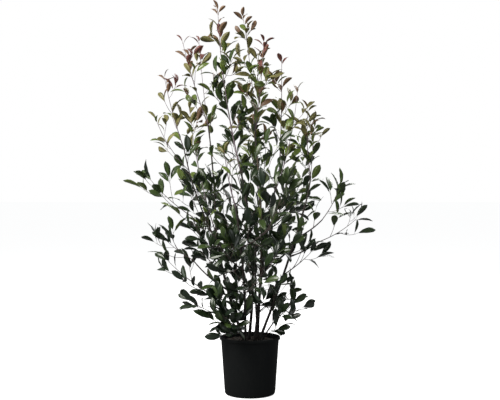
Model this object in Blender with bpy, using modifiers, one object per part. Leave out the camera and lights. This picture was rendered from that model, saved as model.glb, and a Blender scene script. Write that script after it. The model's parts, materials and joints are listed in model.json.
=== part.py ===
"""A potted, many-stemmed photinia shrub, in metres, +Z up, standing on the flat underside of its pot.

Stems rise from the compost and fork into boughs. From the boughs and the upper stems grow the
masses of foliage: a leader twig, side twigs round it by a seeded rule, and leaves fused on.
"""

import math
import random
from typing import NamedTuple

import bmesh
import bpy
from mathutils import Matrix, Vector
from mathutils.bvhtree import BVHTree

SEED = "red robin"
UP = Vector((0.0, 0.0, 1.0))
GAP = 0.0003
GOLDEN_TURN = math.radians(137.5)

# Pot: a thin moulded tub with a rolled rim and drain holes in its floor
POT_HEIGHT = 0.265
RIM_RADIUS = 0.140
RIM_DEPTH = 0.013
RIM_ROUND = 0.002
WALL_TOP_RADIUS = 0.1345
WALL_BASE_RADIUS = 0.1165
WALL = 0.0025
FLOOR = 0.003
FOOT_ROUND = 0.010
FOOT_CORNER_STEPS = 3
POT_STEPS = 32
DRAIN_HOLES = 6
DRAIN_RADIUS = 0.006
DRAIN_SIDES = 8
DRAIN_CIRCLE = 0.088

# Compost, a little below the rim and just clear of the wall
COMPOST_TOP = POT_HEIGHT - 0.022
COMPOST_GAP = 0.0008

# Limbs
STEM_SIDES = 6
BOUGH_SIDES = 6
STEM_BENDS = 6
BOUGH_BENDS = 4
UPRIGHT_FOOT = 0.012
FLARE = 0.40
FLARE_HEIGHT = 0.035
BOUGH_SHARE = 0.72
BOUGH_TAPER = 0.62
THINNEST_BOUGH = 0.0024
SEATINGS = 4
SEATING_REACH = 4.0
SEATING_STEP = 0.00001

# Twigs
LEADER_SHARE = 0.62
LEADER_SHARE_AT_TIP = 0.92
LEADER_BENDS = 4
TWIG_TIP_RADIUS = 0.0017
SIDE_SHARE = 0.72
SIDE_LIFT = (0.60, 0.95)
FIRST_SIDE = 0.16
LAST_SIDE = 0.84
LOW_SIDE_LENGTH = 1.15
SIDE_SHORTENING = 0.50
SIDE_SPREAD = (0.85, 1.15)

# Leaves, a little larger than life because there are fewer of them
LEAF_LENGTH = 0.104
LEAF_WIDTH = 0.44
LEAF_WIDEST = 0.54
LEAF_THICKEST = 0.36
LEAF_THICKNESS = 0.0014
LEAF_FOLD = 0.09
LEAF_CURL = 0.05
LEAF_SIZES = (0.85, 1.10)
LEAF_SPACING = 0.096
LEAF_JITTER = (0.85, 1.15)
LEAF_LIFT = (0.62, 1.05)
TIP_LIFT = (0.22, 0.62)
WHORL = 3
WHORL_STEP = 0.003
LEADER_BARE = 0.30
SIDE_BARE = 0.42
SPACE_BEYOND_TWIGS = 0.085
SKY_PULL = 0.7
RISE = 0.18
YOUNG_FROM = 1.15
YOUNG_SHARE = 0.74
CLEARANCE = 0.0008


class Stem(NamedTuple):
    """A stem from the compost: where it stands, the bend halfway up and its upper end."""

    name: str
    foot: tuple
    knee: tuple
    tip: tuple
    foot_radius: float
    tip_radius: float


class Bough(NamedTuple):
    """A bough: the limb it leaves, at what share of that limb, where it ends and how it bellies."""

    name: str
    parent: str
    at: float
    tip: tuple
    sag: float


class Mass(NamedTuple):
    """A mass of foliage: its limb, its leader's end, and the number and length of its side twigs."""

    name: str
    parent: str
    at: float
    tip: tuple
    sag: float
    side_twigs: int
    reach: float


class Limb(NamedTuple):
    """The middle line of a grown limb and its radius at each point."""

    path: list
    radii: list


STEMS = [
    Stem("stem_left", (-0.030, 0.002), (-0.109, 0.000, 0.500), (-0.157, -0.020, 0.765), 0.0062, 0.0046),
    Stem("stem_mid_left", (-0.004, 0.030), (0.010, 0.030, 0.640), (-0.042, 0.000, 1.025), 0.0066, 0.0040),
    Stem("stem_centre", (0.022, -0.010), (0.053, 0.010, 0.710), (0.028, 0.020, 1.140), 0.0058, 0.0038),
    Stem("stem_mid_right", (0.037, 0.042), (0.062, 0.072, 0.605), (0.140, 0.090, 1.035), 0.0057, 0.0037),
    Stem("stem_right", (0.045, -0.018), (0.160, -0.030, 0.570), (0.245, -0.020, 0.840), 0.0060, 0.0044),
    Stem("stem_front", (-0.021, -0.038), (-0.028, -0.125, 0.540), (-0.062, -0.190, 0.860), 0.0054, 0.0038),
    Stem("stem_back", (0.038, 0.080), (0.026, 0.150, 0.560), (0.046, 0.215, 0.900), 0.0055, 0.0040),
    Stem("stem_low_right", (0.062, 0.014), (0.096, 0.012, 0.308), (0.132, 0.000, 0.356), 0.0036, 0.0026),
]

BOUGHS = [
    Bough("bough_left_upper", "stem_left", 1.00, (-0.195, 0.030, 1.245), -0.02),
    Bough("bough_left_outer", "stem_left", 0.86, (-0.300, -0.080, 1.130), 0.04),
    Bough("bough_left_reach", "stem_left", 0.70, (-0.263, -0.090, 0.822), 0.06),
    Bough("bough_left_low", "stem_left", 0.46, (-0.262, -0.045, 0.622), 0.05),
    Bough("bough_right_upper", "stem_right", 1.00, (0.282, 0.010, 1.005), 0.03),
    Bough("bough_right_reach", "stem_right", 0.80, (0.328, -0.080, 0.806), 0.05),
    Bough("bough_right_outer", "stem_right", 0.66, (0.325, 0.060, 0.700), 0.04),
    Bough("bough_top", "stem_centre", 1.00, (0.022, 0.030, 1.280), 0.01),
    Bough("bough_front_left", "stem_front", 0.55, (-0.150, -0.275, 0.735), 0.06),
    Bough("bough_front_right", "stem_front", 0.72, (0.080, -0.285, 0.775), 0.06),
    Bough("bough_back_left", "stem_back", 0.60, (-0.105, 0.285, 0.760), 0.06),
    Bough("bough_back_right", "stem_back", 0.74, (0.160, 0.300, 0.800), 0.06),
]

MASSES = [
    Mass("shoot_top_left", "stem_mid_left", 1.00, (-0.146, -0.070, 1.752), 0.03, 4, 0.11),
    Mass("shoot_top_middle", "bough_top", 1.00, (-0.033, 0.100, 1.760), -0.02, 3, 0.08),
    Mass("shoot_top_right", "bough_top", 0.50, (0.063, -0.120, 1.600), 0.03, 3, 0.09),
    Mass("shoot_left_inner", "bough_left_upper", 0.80, (-0.245, 0.150, 1.650), 0.02, 3, 0.08),
    Mass("shoot_left_tall", "bough_left_upper", 1.00, (-0.306, -0.060, 1.610), 0.02, 3, 0.08),
    Mass("shoot_left_outer", "bough_left_outer", 1.00, (-0.384, -0.110, 1.440), 0.02, 3, 0.08),
    Mass("shoot_left_far", "bough_left_outer", 0.78, (-0.410, -0.200, 1.240), 0.06, 3, 0.08),
    Mass("shoot_left_back", "stem_left", 0.93, (-0.300, 0.190, 1.400), 0.05, 3, 0.10),
    Mass("shoot_right_tall", "stem_mid_right", 1.00, (0.152, 0.150, 1.560), 0.04, 3, 0.09),
    Mass("shoot_right_inner", "stem_mid_right", 0.86, (0.215, -0.080, 1.385), 0.06, 3, 0.09),
    Mass("shoot_right_outer", "bough_right_upper", 1.00, (0.268, 0.000, 1.310), 0.04, 3, 0.09),
    Mass("shoot_right_far", "bough_right_upper", 0.62, (0.310, 0.170, 1.240), 0.06, 3, 0.10),
    Mass("shoot_front", "stem_front", 1.00, (-0.112, -0.230, 1.105), 0.03, 3, 0.10),
    Mass("shoot_back", "stem_back", 1.00, (0.020, 0.280, 1.330), 0.04, 3, 0.11),
    Mass("spray_left_reach", "bough_left_reach", 1.00, (-0.445, -0.130, 0.985), 0.04, 4, 0.12),
    Mass("spray_left_low", "bough_left_low", 1.00, (-0.372, -0.050, 0.700), 0.03, 4, 0.10),
    Mass("spray_left_lowest", "stem_left", 0.33, (-0.385, 0.080, 0.605), 0.05, 4, 0.10),
    Mass("spray_left_foot", "stem_left", 0.18, (-0.275, -0.080, 0.440), 0.04, 3, 0.09),
    Mass("spray_left_middle", "stem_left", 0.60, (-0.225, 0.030, 0.760), 0.05, 4, 0.11),
    Mass("spray_right_reach", "bough_right_reach", 1.00, (0.405, -0.095, 0.950), 0.04, 3, 0.08),
    Mass("spray_right_outer", "bough_right_outer", 1.00, (0.500, 0.075, 0.805), 0.05, 3, 0.09),
    Mass("spray_right_low", "stem_right", 0.52, (0.280, -0.035, 0.655), 0.03, 3, 0.10),
    Mass("spray_right_foot", "stem_low_right", 1.00, (0.195, -0.055, 0.418), 0.03, 3, 0.10),
    Mass("spray_front_left", "bough_front_left", 1.00, (-0.250, -0.400, 0.920), 0.05, 4, 0.12),
    Mass("spray_front_right", "bough_front_right", 1.00, (0.140, -0.405, 0.950), 0.05, 4, 0.12),
    Mass("spray_back_left", "bough_back_left", 1.00, (-0.225, 0.400, 0.950), 0.05, 4, 0.13),
    Mass("spray_back_right", "bough_back_right", 1.00, (0.260, 0.410, 1.000), 0.05, 4, 0.13),
    Mass("spray_front_low", "stem_front", 0.38, (0.060, -0.300, 0.600), 0.05, 4, 0.13),
    Mass("spray_back_low", "stem_back", 0.40, (0.010, 0.350, 0.640), 0.05, 4, 0.13),
    Mass("spray_middle_low", "stem_centre", 0.36, (0.130, -0.130, 0.700), 0.05, 4, 0.13),
    Mass("spray_middle_left", "stem_mid_left", 0.62, (-0.130, -0.090, 0.985), 0.05, 4, 0.13),
    Mass("spray_middle_back", "stem_mid_left", 0.80, (-0.090, 0.150, 1.170), 0.05, 4, 0.12),
    Mass("spray_middle_front", "stem_centre", 0.72, (0.070, -0.150, 1.130), 0.05, 4, 0.13),
    Mass("spray_middle_right", "stem_mid_right", 0.66, (0.200, 0.170, 0.960), 0.05, 4, 0.12),
    Mass("spray_low_left", "stem_left", 0.10, (-0.120, -0.150, 0.350), -0.06, 4, 0.10),
    Mass("spray_low_centre", "stem_mid_left", 0.42, (-0.080, -0.110, 0.720), 0.05, 4, 0.12),
    Mass("spray_low_middle", "stem_mid_left", 0.16, (-0.060, -0.060, 0.520), 0.05, 3, 0.10),
    Mass("spray_low_right", "stem_mid_right", 0.16, (0.135, 0.075, 0.480), 0.06, 4, 0.11),
]


class Finish(NamedTuple):
    """A surface: its colour, roughness and metallic value."""

    colour: tuple
    roughness: float
    metallic: float = 0.0


POT_PLASTIC = Finish((0.011, 0.012, 0.013), 0.48)
COMPOST = Finish((0.045, 0.028, 0.018), 0.95)
OLD_BARK = Finish((0.055, 0.038, 0.030), 0.80)
GREEN_LEAF = Finish((0.030, 0.075, 0.018), 0.38)
YOUNG_LEAF = Finish((0.180, 0.070, 0.040), 0.42)


def clear_scene():
    """Start from an empty scene."""
    for thing in list(bpy.data.objects):
        bpy.data.objects.remove(thing, do_unlink=True)


def new_collection(name):
    """A new collection under the scene's own."""
    collection = bpy.data.collections.new(name)
    bpy.context.scene.collection.children.link(collection)
    return collection


def add_object(name, mesh, collection):
    """An object for the mesh, in the collection."""
    thing = bpy.data.objects.new(name, mesh)
    collection.objects.link(thing)
    return thing


def finish(thing, surface):
    """Give the object a material of its own."""
    material = bpy.data.materials.new(thing.name)
    material.use_nodes = True
    shader = material.node_tree.nodes["Principled BSDF"]
    shader.inputs["Base Color"].default_value = (*surface.colour, 1.0)
    shader.inputs["Roughness"].default_value = surface.roughness
    shader.inputs["Metallic"].default_value = surface.metallic
    thing.data.materials.clear()
    thing.data.materials.append(material)


def evaluated_mesh(thing):
    """A copy of the object's mesh as its modifiers or curve settings leave it."""
    depsgraph = bpy.context.evaluated_depsgraph_get()
    return bpy.data.meshes.new_from_object(thing.evaluated_get(depsgraph))


def smooth_shaded(mesh):
    """Shade a round piece smooth, with its corners left sharp."""
    mesh.shade_smooth()
    mesh.set_sharp_from_angle(angle=math.radians(35))


def turned(name, profile, collection):
    """A body turned about Z from (radius, height) points that run down its outer side."""
    mesh = bpy.data.meshes.new(name)
    outline = bmesh.new()
    points = [outline.verts.new((radius, 0.0, height)) for radius, height in profile]
    for first, second in zip(points, points[1:]):
        outline.edges.new((first, second))
    outline.to_mesh(mesh)
    outline.free()
    thing = add_object(name, mesh, collection)
    screw = thing.modifiers.new("turn", "SCREW")
    screw.steps = POT_STEPS
    screw.render_steps = POT_STEPS
    screw.use_merge_vertices = True
    screw.merge_threshold = 0.00001
    thing.data = evaluated_mesh(thing)
    thing.modifiers.clear()
    bpy.data.meshes.remove(mesh)
    return thing


def wall_radius(height):
    """The outer radius of the pot's plain wall at a height."""
    share = height / POT_HEIGHT
    return WALL_BASE_RADIUS + (WALL_TOP_RADIUS - WALL_BASE_RADIUS) * share


def make_pot(collection, cutters):
    """The pot: inner side up, over the rolled rim, down the outer side to the middle of the foot."""
    lip_foot = POT_HEIGHT - RIM_DEPTH
    foot_radius = wall_radius(0.0)
    corner = []
    for step in range(FOOT_CORNER_STEPS + 1):
        turn = math.pi / 2 * step / FOOT_CORNER_STEPS
        radius = foot_radius - FOOT_ROUND * (1 - math.cos(turn))
        corner.append((radius, FOOT_ROUND * (1 - math.sin(turn))))
    profile = [
        (0.0, FLOOR),
        (foot_radius - FOOT_ROUND, FLOOR),
        (wall_radius(FOOT_ROUND) - WALL, FOOT_ROUND),
        (WALL_TOP_RADIUS - WALL, POT_HEIGHT - RIM_ROUND),
        (WALL_TOP_RADIUS, POT_HEIGHT),
        (RIM_RADIUS - RIM_ROUND, POT_HEIGHT - RIM_ROUND / 2),
        (RIM_RADIUS, POT_HEIGHT - 2 * RIM_ROUND),
        (RIM_RADIUS - RIM_ROUND / 2, lip_foot + RIM_ROUND / 2),
        (wall_radius(lip_foot), lip_foot),
        *corner,
        (0.0, 0.0),
    ]
    pot = turned("pot", profile, collection)
    for hole in range(DRAIN_HOLES):
        angle = math.tau * hole / DRAIN_HOLES
        place = (DRAIN_CIRCLE * math.cos(angle), DRAIN_CIRCLE * math.sin(angle), FLOOR / 2)
        bpy.ops.mesh.primitive_cylinder_add(
            vertices=DRAIN_SIDES, radius=DRAIN_RADIUS, depth=4 * FLOOR, location=place
        )
        cutter = bpy.context.object
        cutter.name = f"drain_cutter_{hole + 1}"
        cutter.hide_render = True
        cutter.display_type = "WIRE"
        for home in list(cutter.users_collection):
            home.objects.unlink(cutter)
        cutters.objects.link(cutter)
    cut = pot.modifiers.new("drain holes", "BOOLEAN")
    cut.operation = "DIFFERENCE"
    cut.operand_type = "COLLECTION"
    cut.collection = cutters
    cut.solver = "EXACT"
    smooth_shaded(pot.data)
    finish(pot, POT_PLASTIC)
    return pot


def make_compost(collection):
    """The block of compost that fills the pot, clear of its wall and floor."""
    top_radius = wall_radius(COMPOST_TOP) - WALL - COMPOST_GAP
    foot_radius = wall_radius(0.0) - FOOT_ROUND - COMPOST_GAP
    profile = [
        (0.0, COMPOST_TOP),
        (top_radius, COMPOST_TOP),
        (wall_radius(FOOT_ROUND) - WALL - COMPOST_GAP, FOOT_ROUND),
        (foot_radius, FLOOR + GAP),
        (0.0, FLOOR + GAP),
    ]
    compost = turned("compost", profile, collection)
    smooth_shaded(compost.data)
    finish(compost, COMPOST)
    return compost


def bezier(start, control, end, count):
    """Points of a curve from start to end that its control point draws aside."""
    points = []
    for step in range(count + 1):
        share = step / count
        rest = 1.0 - share
        points.append(start * rest**2 + control * (2 * share * rest) + end * share**2)
    return points


def arc(start, end, sag, count):
    """A curve whose middle bellies outward and down by a share of its length."""
    chord = end - start
    belly = Vector((chord.x, chord.y, 0.0)).normalized() - UP
    belly -= chord * (belly.dot(chord) / chord.length_squared)
    control = (start + end) / 2 + belly.normalized() * (2 * sag * chord.length)
    return bezier(start, control, end, count)


def stem_path(stem):
    """A stem's middle line: upright off its flat foot, then through its knee to its tip."""
    foot = Vector((*stem.foot, COMPOST_TOP + GAP))
    collar = foot + UP * UPRIGHT_FOOT
    knee = Vector(stem.knee)
    tip = Vector(stem.tip)
    below = (knee - collar).length
    share = below / (below + (tip - knee).length)
    rest = 1.0 - share
    control = (knee - collar * rest**2 - tip * share**2) / (2 * share * rest)
    return [foot, *bezier(collar, control, tip, STEM_BENDS)]


def lengths_along(path):
    """How far along the path each of its points lies."""
    lengths = [0.0]
    for first, second in zip(path, path[1:]):
        lengths.append(lengths[-1] + (second - first).length)
    return lengths


def tapered(path, first, last):
    """Radii along a path that thin evenly from first to last."""
    lengths = lengths_along(path)
    return [first + (last - first) * length / lengths[-1] for length in lengths]


def flared(path, stem):
    """A stem's radii: an even taper that widens into the flare at its foot."""
    radii = tapered(path, stem.foot_radius, stem.tip_radius)
    lengths = lengths_along(path)
    return [
        radius * (1.0 + FLARE * math.exp(-length / FLARE_HEIGHT))
        for radius, length in zip(radii, lengths)
    ]


def place_on(limb, share):
    """The point, direction and radius of a limb at a share of its length."""
    lengths = lengths_along(limb.path)
    wanted = share * lengths[-1]
    last = len(limb.path) - 2
    step = next((i for i in range(last) if lengths[i + 1] >= wanted), last)
    part = (wanted - lengths[step]) / (lengths[step + 1] - lengths[step])
    point = limb.path[step].lerp(limb.path[step + 1], part)
    direction = (limb.path[step + 1] - limb.path[step]).normalized()
    radius = limb.radii[step] + (limb.radii[step + 1] - limb.radii[step]) * part
    return point, direction, radius


def tube(name, limb, sides, triangle=None):
    """A tapering round limb with flat ends; three-sided if a triangle is given as its section."""
    curve = bpy.data.curves.new(name, "CURVE")
    curve.dimensions = "3D"
    curve.use_fill_caps = True
    if triangle:
        curve.bevel_mode = "OBJECT"
        curve.bevel_object = triangle
    else:
        curve.bevel_depth = 1.0
        curve.bevel_resolution = (sides - 4) // 2
    spline = curve.splines.new("POLY")
    spline.points.add(len(limb.path) - 1)
    for point, place, radius in zip(spline.points, limb.path, limb.radii):
        point.co = (*place, 1.0)
        point.radius = radius
    guide = add_object(name, curve, bpy.context.scene.collection)
    mesh = evaluated_mesh(guide)
    mesh.name = name
    bpy.data.objects.remove(guide)
    bpy.data.curves.remove(curve)
    body = bmesh.new()
    body.from_mesh(mesh)
    bmesh.ops.remove_doubles(body, verts=body.verts, dist=0.00001)
    body.to_mesh(mesh)
    body.free()
    return mesh


def make_triangle():
    """The three-sided section of the twigs, of unit radius."""
    curve = bpy.data.curves.new("twig_section", "CURVE")
    curve.dimensions = "2D"
    spline = curve.splines.new("POLY")
    spline.points.add(2)
    for corner, point in enumerate(spline.points):
        angle = -math.tau * corner / 3
        point.co = (math.cos(angle), math.sin(angle), 0.0, 1.0)
    spline.use_cyclic_u = True
    return add_object("twig_section", curve, bpy.context.scene.collection)


def surface_tree(mesh, shift=Vector()):
    """A search tree over a mesh's faces, moved by a shift."""
    corners = [vertex.co + shift for vertex in mesh.vertices]
    faces = [tuple(face.vertices) for face in mesh.polygons]
    return BVHTree.FromPolygons(corners, faces)


def way_clear(mesh, away, reach, tree):
    """How far a mesh has to move along a direction until it just clears the tree's faces."""
    touching = -reach
    clear = reach
    while clear - touching > SEATING_STEP:
        middle = (touching + clear) / 2
        if surface_tree(mesh, away * middle).overlap(tree):
            touching = middle
        else:
            clear = middle
    return clear


def seated_limb(growth, parent, tree, radii, sides, bends, triangle=None):
    """A limb and its body, grown from its parent's side or tip, its foot the gap clear of it."""
    start, direction, parent_radius = place_on(parent, growth.at)
    reach = SEATING_REACH * (parent_radius + radii[0])
    for seating in range(SEATINGS + 1):
        path = arc(start, Vector(growth.tip), growth.sag, bends)
        limb = Limb(path, tapered(path, *radii))
        mesh = tube(growth.name, limb, sides, triangle)
        if seating == SEATINGS:
            break
        away = (path[1] - path[0]).normalized()
        slope = away.dot(direction)
        closing = slope if growth.at >= 1.0 else math.sqrt(1.0 - slope * slope)
        start = start + away * (way_clear(mesh, away, reach, tree) + GAP / closing)
        bpy.data.meshes.remove(mesh)
    return limb, mesh


def meets(tree, others):
    """Whether the tree's faces cross those of any other."""
    return any(tree.overlap(other) for other in others)


def leaf_mesh(name, length, frame):
    """A leaf of eight faces, folded along its midrib, with its tip curved back."""
    leaf = bmesh.new()
    bmesh.ops.create_uvsphere(leaf, u_segments=4, v_segments=2, radius=1.0)
    for corner in leaf.verts:
        x, y, z = corner.co
        if abs(z) > 0.5:
            corner.co = (0.0, LEAF_THICKEST * length, z * LEAF_THICKNESS / 2)
        elif abs(x) > 0.5:
            corner.co = (x * LEAF_WIDTH * length / 2, LEAF_WIDEST * length, LEAF_FOLD * length)
        elif y > 0.5:
            corner.co = (0.0, length, -LEAF_CURL * length)
        else:
            corner.co = (0.0, 0.0, 0.0)
    bmesh.ops.transform(leaf, matrix=frame, verts=leaf.verts)
    bmesh.ops.recalc_face_normals(leaf, faces=leaf.faces)
    mesh = bpy.data.meshes.new(name)
    leaf.to_mesh(mesh)
    leaf.free()
    return mesh


def leaf_frame(place, direction, turn, lift):
    """The place and turn of a leaf: it leaves its twig at an angle, its upper face to tip and sky."""
    sideways = Matrix.Rotation(turn, 3, direction) @ direction.orthogonal().normalized()
    along = direction * math.cos(lift) + sideways * math.sin(lift) + UP * RISE
    along.normalize()
    face = (direction - along * direction.dot(along)).normalized()
    face += (UP - along * UP.dot(along)) * SKY_PULL
    face.normalize()
    across = along.cross(face)
    turned_axes = Matrix((across, along, face)).transposed().to_4x4()
    return Matrix.Translation(place) @ turned_axes


def leaf_places(draw, twig, first):
    """Places of a twig's leaves: spaced along it, each a golden turn on, then a whorl at its tip."""
    length = lengths_along(twig.path)[-1]
    turn = draw.uniform(0.0, math.tau)
    along = first * length
    while along < length - LEAF_SPACING / 2:
        turn += GOLDEN_TURN
        yield along / length, turn, draw.uniform(*LEAF_LIFT)
        along += LEAF_SPACING * draw.uniform(*LEAF_JITTER)
    for place in range(WHORL):
        turn += GOLDEN_TURN
        yield 1.0 - WHORL_STEP * (place + 1) / length, turn, draw.uniform(*TIP_LIFT)


def side_twigs(draw, mass, leader):
    """The side twigs of a leader, shorter towards its tip and each a golden turn on."""
    turn = draw.uniform(0.0, math.tau)
    for twig in range(mass.side_twigs):
        share = FIRST_SIDE + (LAST_SIDE - FIRST_SIDE) * (twig + 0.5) / mass.side_twigs
        place, direction, radius = place_on(leader, share)
        turn += GOLDEN_TURN
        lift = draw.uniform(*SIDE_LIFT)
        sideways = Matrix.Rotation(turn, 3, direction) @ direction.orthogonal().normalized()
        away = direction * math.cos(lift) + sideways * math.sin(lift) + UP * RISE
        length = mass.reach * (LOW_SIDE_LENGTH - SIDE_SHORTENING * share)
        length *= draw.uniform(*SIDE_SPREAD)
        path = [place, place + away.normalized() * length]
        yield Limb(path, [radius * SIDE_SHARE, TWIG_TIP_RADIUS])


def grown_bough(bough, limbs, trees):
    """A bough and its body, thinner than the limb it leaves."""
    parent = limbs[bough.parent]
    share = 1.0 if bough.at >= 1.0 else BOUGH_SHARE
    radius = place_on(parent, bough.at)[2] * share
    radii = (radius, max(radius * BOUGH_TAPER, THINNEST_BOUGH))
    return seated_limb(bough, parent, trees[bough.parent], radii, BOUGH_SIDES, BOUGH_BENDS)


def grown_leader(mass, limbs, trees, triangle):
    """The leader twig of a mass and its body, from its limb's tip or side."""
    parent = limbs[mass.parent]
    share = LEADER_SHARE_AT_TIP if mass.at >= 1.0 else LEADER_SHARE
    radii = (place_on(parent, mass.at)[2] * share, TWIG_TIP_RADIUS)
    return seated_limb(mass, parent, trees[mass.parent], radii, 3, LEADER_BENDS, triangle)


def leaf_size(draw, place):
    """A leaf's length: young leaves high on the plant are smaller."""
    share = YOUNG_SHARE if place.z > YOUNG_FROM else 1.0
    return LEAF_LENGTH * share * draw.uniform(*LEAF_SIZES)


def grown_past(mesh):
    """A slightly fatter copy of a mesh's search tree, for a clear gap all round."""
    body = bmesh.new()
    body.from_mesh(mesh)
    middle = sum((vertex.co for vertex in body.verts), Vector()) / len(body.verts)
    for vertex in body.verts:
        vertex.co += (vertex.co - middle).normalized() * CLEARANCE + vertex.normal * CLEARANCE
    tree = BVHTree.FromBMesh(body)
    body.free()
    return tree


def outer_body(mesh):
    """Keep the mesh's largest closed body: loose scraps and sealed hollows go."""
    body = bmesh.new()
    body.from_mesh(mesh)
    bmesh.ops.remove_doubles(body, verts=body.verts, dist=0.000001)
    left = set(body.faces)
    bodies = []
    while left:
        found = {left.pop()}
        edge = list(found)
        while edge:
            face = edge.pop()
            beside = {other for line in face.edges for other in line.link_faces} & left
            left -= beside
            found |= beside
            edge.extend(beside)
        bodies.append(found)
    bodies.sort(key=len)
    for scrap in bodies[:-1]:
        bmesh.ops.delete(body, geom=list(scrap), context="FACES")
    loose = [vertex for vertex in body.verts if not vertex.link_faces]
    bmesh.ops.delete(body, geom=loose, context="VERTS")
    bmesh.ops.triangulate(body, faces=body.faces)
    body.to_mesh(mesh)
    body.free()


def fuse(name, leader, pieces, collection):
    """Join a mass's side twigs and leaves to its leader with one union, as one object."""
    mass = add_object(name, leader, collection)
    parts = new_collection(f"{name}_pieces")
    for number, piece in enumerate(pieces):
        add_object(f"{name}_piece_{number + 1}", piece, parts)
    union = mass.modifiers.new("fuse", "BOOLEAN")
    union.operation = "UNION"
    union.operand_type = "COLLECTION"
    union.collection = parts
    union.solver = "EXACT"
    mass.data = evaluated_mesh(mass)
    mass.modifiers.clear()
    for piece in list(parts.objects):
        bpy.data.objects.remove(piece)
    bpy.data.collections.remove(parts)
    outer_body(mass.data)
    return mass


def plan_mass(mass, limbs, trees, triangle, standing):
    """A mass's leader and the side twigs that keep clear of everything already standing."""
    draw = random.Random(f"{SEED} {mass.name}")
    leader, leader_mesh = grown_leader(mass, limbs, trees, triangle)
    own_trees = [surface_tree(leader_mesh)]
    if meets(own_trees[0], standing):
        raise ValueError(f"the leader of {mass.name} runs into another limb")
    twigs = [leader]
    meshes = [leader_mesh]
    for twig in side_twigs(draw, mass, leader):
        mesh = tube(mass.name, twig, 3, triangle)
        if not meets(grown_past(mesh), standing + own_trees[1:]):
            twigs.append(twig)
            meshes.append(mesh)
            own_trees.append(surface_tree(mesh))
    return draw, twigs, meshes, own_trees


def strays(mass, leader, point):
    """Whether a point lies outside the space of a mass, which runs along its leader."""
    nearest = min((point - place).length for place in leader.path)
    return nearest > mass.reach + SPACE_BEYOND_TWIGS


def leaves_of(mass, draw, twigs, trees, standing):
    """The leaves of a mass that keep to its space and touch only the twig they grow on."""
    leaves = []
    leaf_trees = []
    for number, twig in enumerate(twigs):
        other_twigs = trees[:number] + trees[number + 1 :]
        bare = SIDE_BARE if number else LEADER_BARE
        for share, turn, lift in leaf_places(draw, twig, bare):
            place, direction, _ = place_on(twig, share)
            length = leaf_size(draw, place)
            frame = leaf_frame(place, direction, turn, lift)
            if strays(mass, twigs[0], frame @ Vector((0.0, length, 0.0))):
                continue
            mesh = leaf_mesh(mass.name, length, frame)
            if meets(grown_past(mesh), standing + other_twigs + leaf_trees):
                continue
            leaves.append(mesh)
            leaf_trees.append(surface_tree(mesh))
    return leaves, leaf_trees


def add_limb(name, limb, mesh, limbs, trees, collection):
    """Stand a limb among those that are there, none of which it may run into."""
    tree = surface_tree(mesh)
    if meets(tree, trees.values()):
        raise ValueError(f"{name} runs into another limb")
    limbs[name] = limb
    trees[name] = tree
    smooth_shaded(mesh)
    finish(add_object(name, mesh, collection), OLD_BARK)


def make_limbs(limbs, trees, collection):
    """The stems and boughs, each with its line in limbs and its search tree in trees."""
    for stem in STEMS:
        path = stem_path(stem)
        limb = Limb(path, flared(path, stem))
        add_limb(stem.name, limb, tube(stem.name, limb, STEM_SIDES), limbs, trees, collection)
    for bough in BOUGHS:
        add_limb(bough.name, *grown_bough(bough, limbs, trees), limbs, trees, collection)


def make_masses(limbs, trees, collection):
    """The masses: first every leader and side twig, then the leaves that find room among them."""
    section = make_triangle()
    standing = list(trees.values())
    plans = []
    for mass in MASSES:
        plan = plan_mass(mass, limbs, trees, section, standing)
        plans.append(plan)
        standing.extend(plan[-1])
    for mass, (draw, twigs, meshes, own_trees) in zip(MASSES, plans):
        around = [tree for tree in standing if tree not in own_trees]
        leaves, leaf_trees = leaves_of(mass, draw, twigs, own_trees, around)
        standing.extend(leaf_trees)
        made = fuse(mass.name, meshes[0], meshes[1:] + leaves, collection)
        young = mass.name.startswith("shoot")
        finish(made, YOUNG_LEAF if young else GREEN_LEAF)
    bpy.data.objects.remove(section)


def main():
    """Build the potted shrub in an empty scene."""
    clear_scene()
    parts = new_collection("photinia")
    cutters = new_collection("cutters")
    pot = make_pot(parts, cutters)
    compost = make_compost(parts)
    limbs = {}
    trees = {"pot": surface_tree(evaluated_mesh(pot)), "compost": surface_tree(compost.data)}
    make_limbs(limbs, trees, parts)
    make_masses(limbs, trees, parts)


main()
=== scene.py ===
"""Dress a potted photinia shrub: its pot, compost, barked limbs, twigs, buds and leaves.

The plant's solids are loaded first and hold its places and sizes. Every mass of foliage grows
again here from its own limb, by the rule that made its solid, down to finer twigs and leaves.
"""

import json
import math
import random
from typing import NamedTuple

import bmesh
import bpy
import numpy as np
from bpy.props import FloatProperty, FloatVectorProperty, IntProperty, PointerProperty
from mathutils import Matrix, Vector, noise

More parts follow.
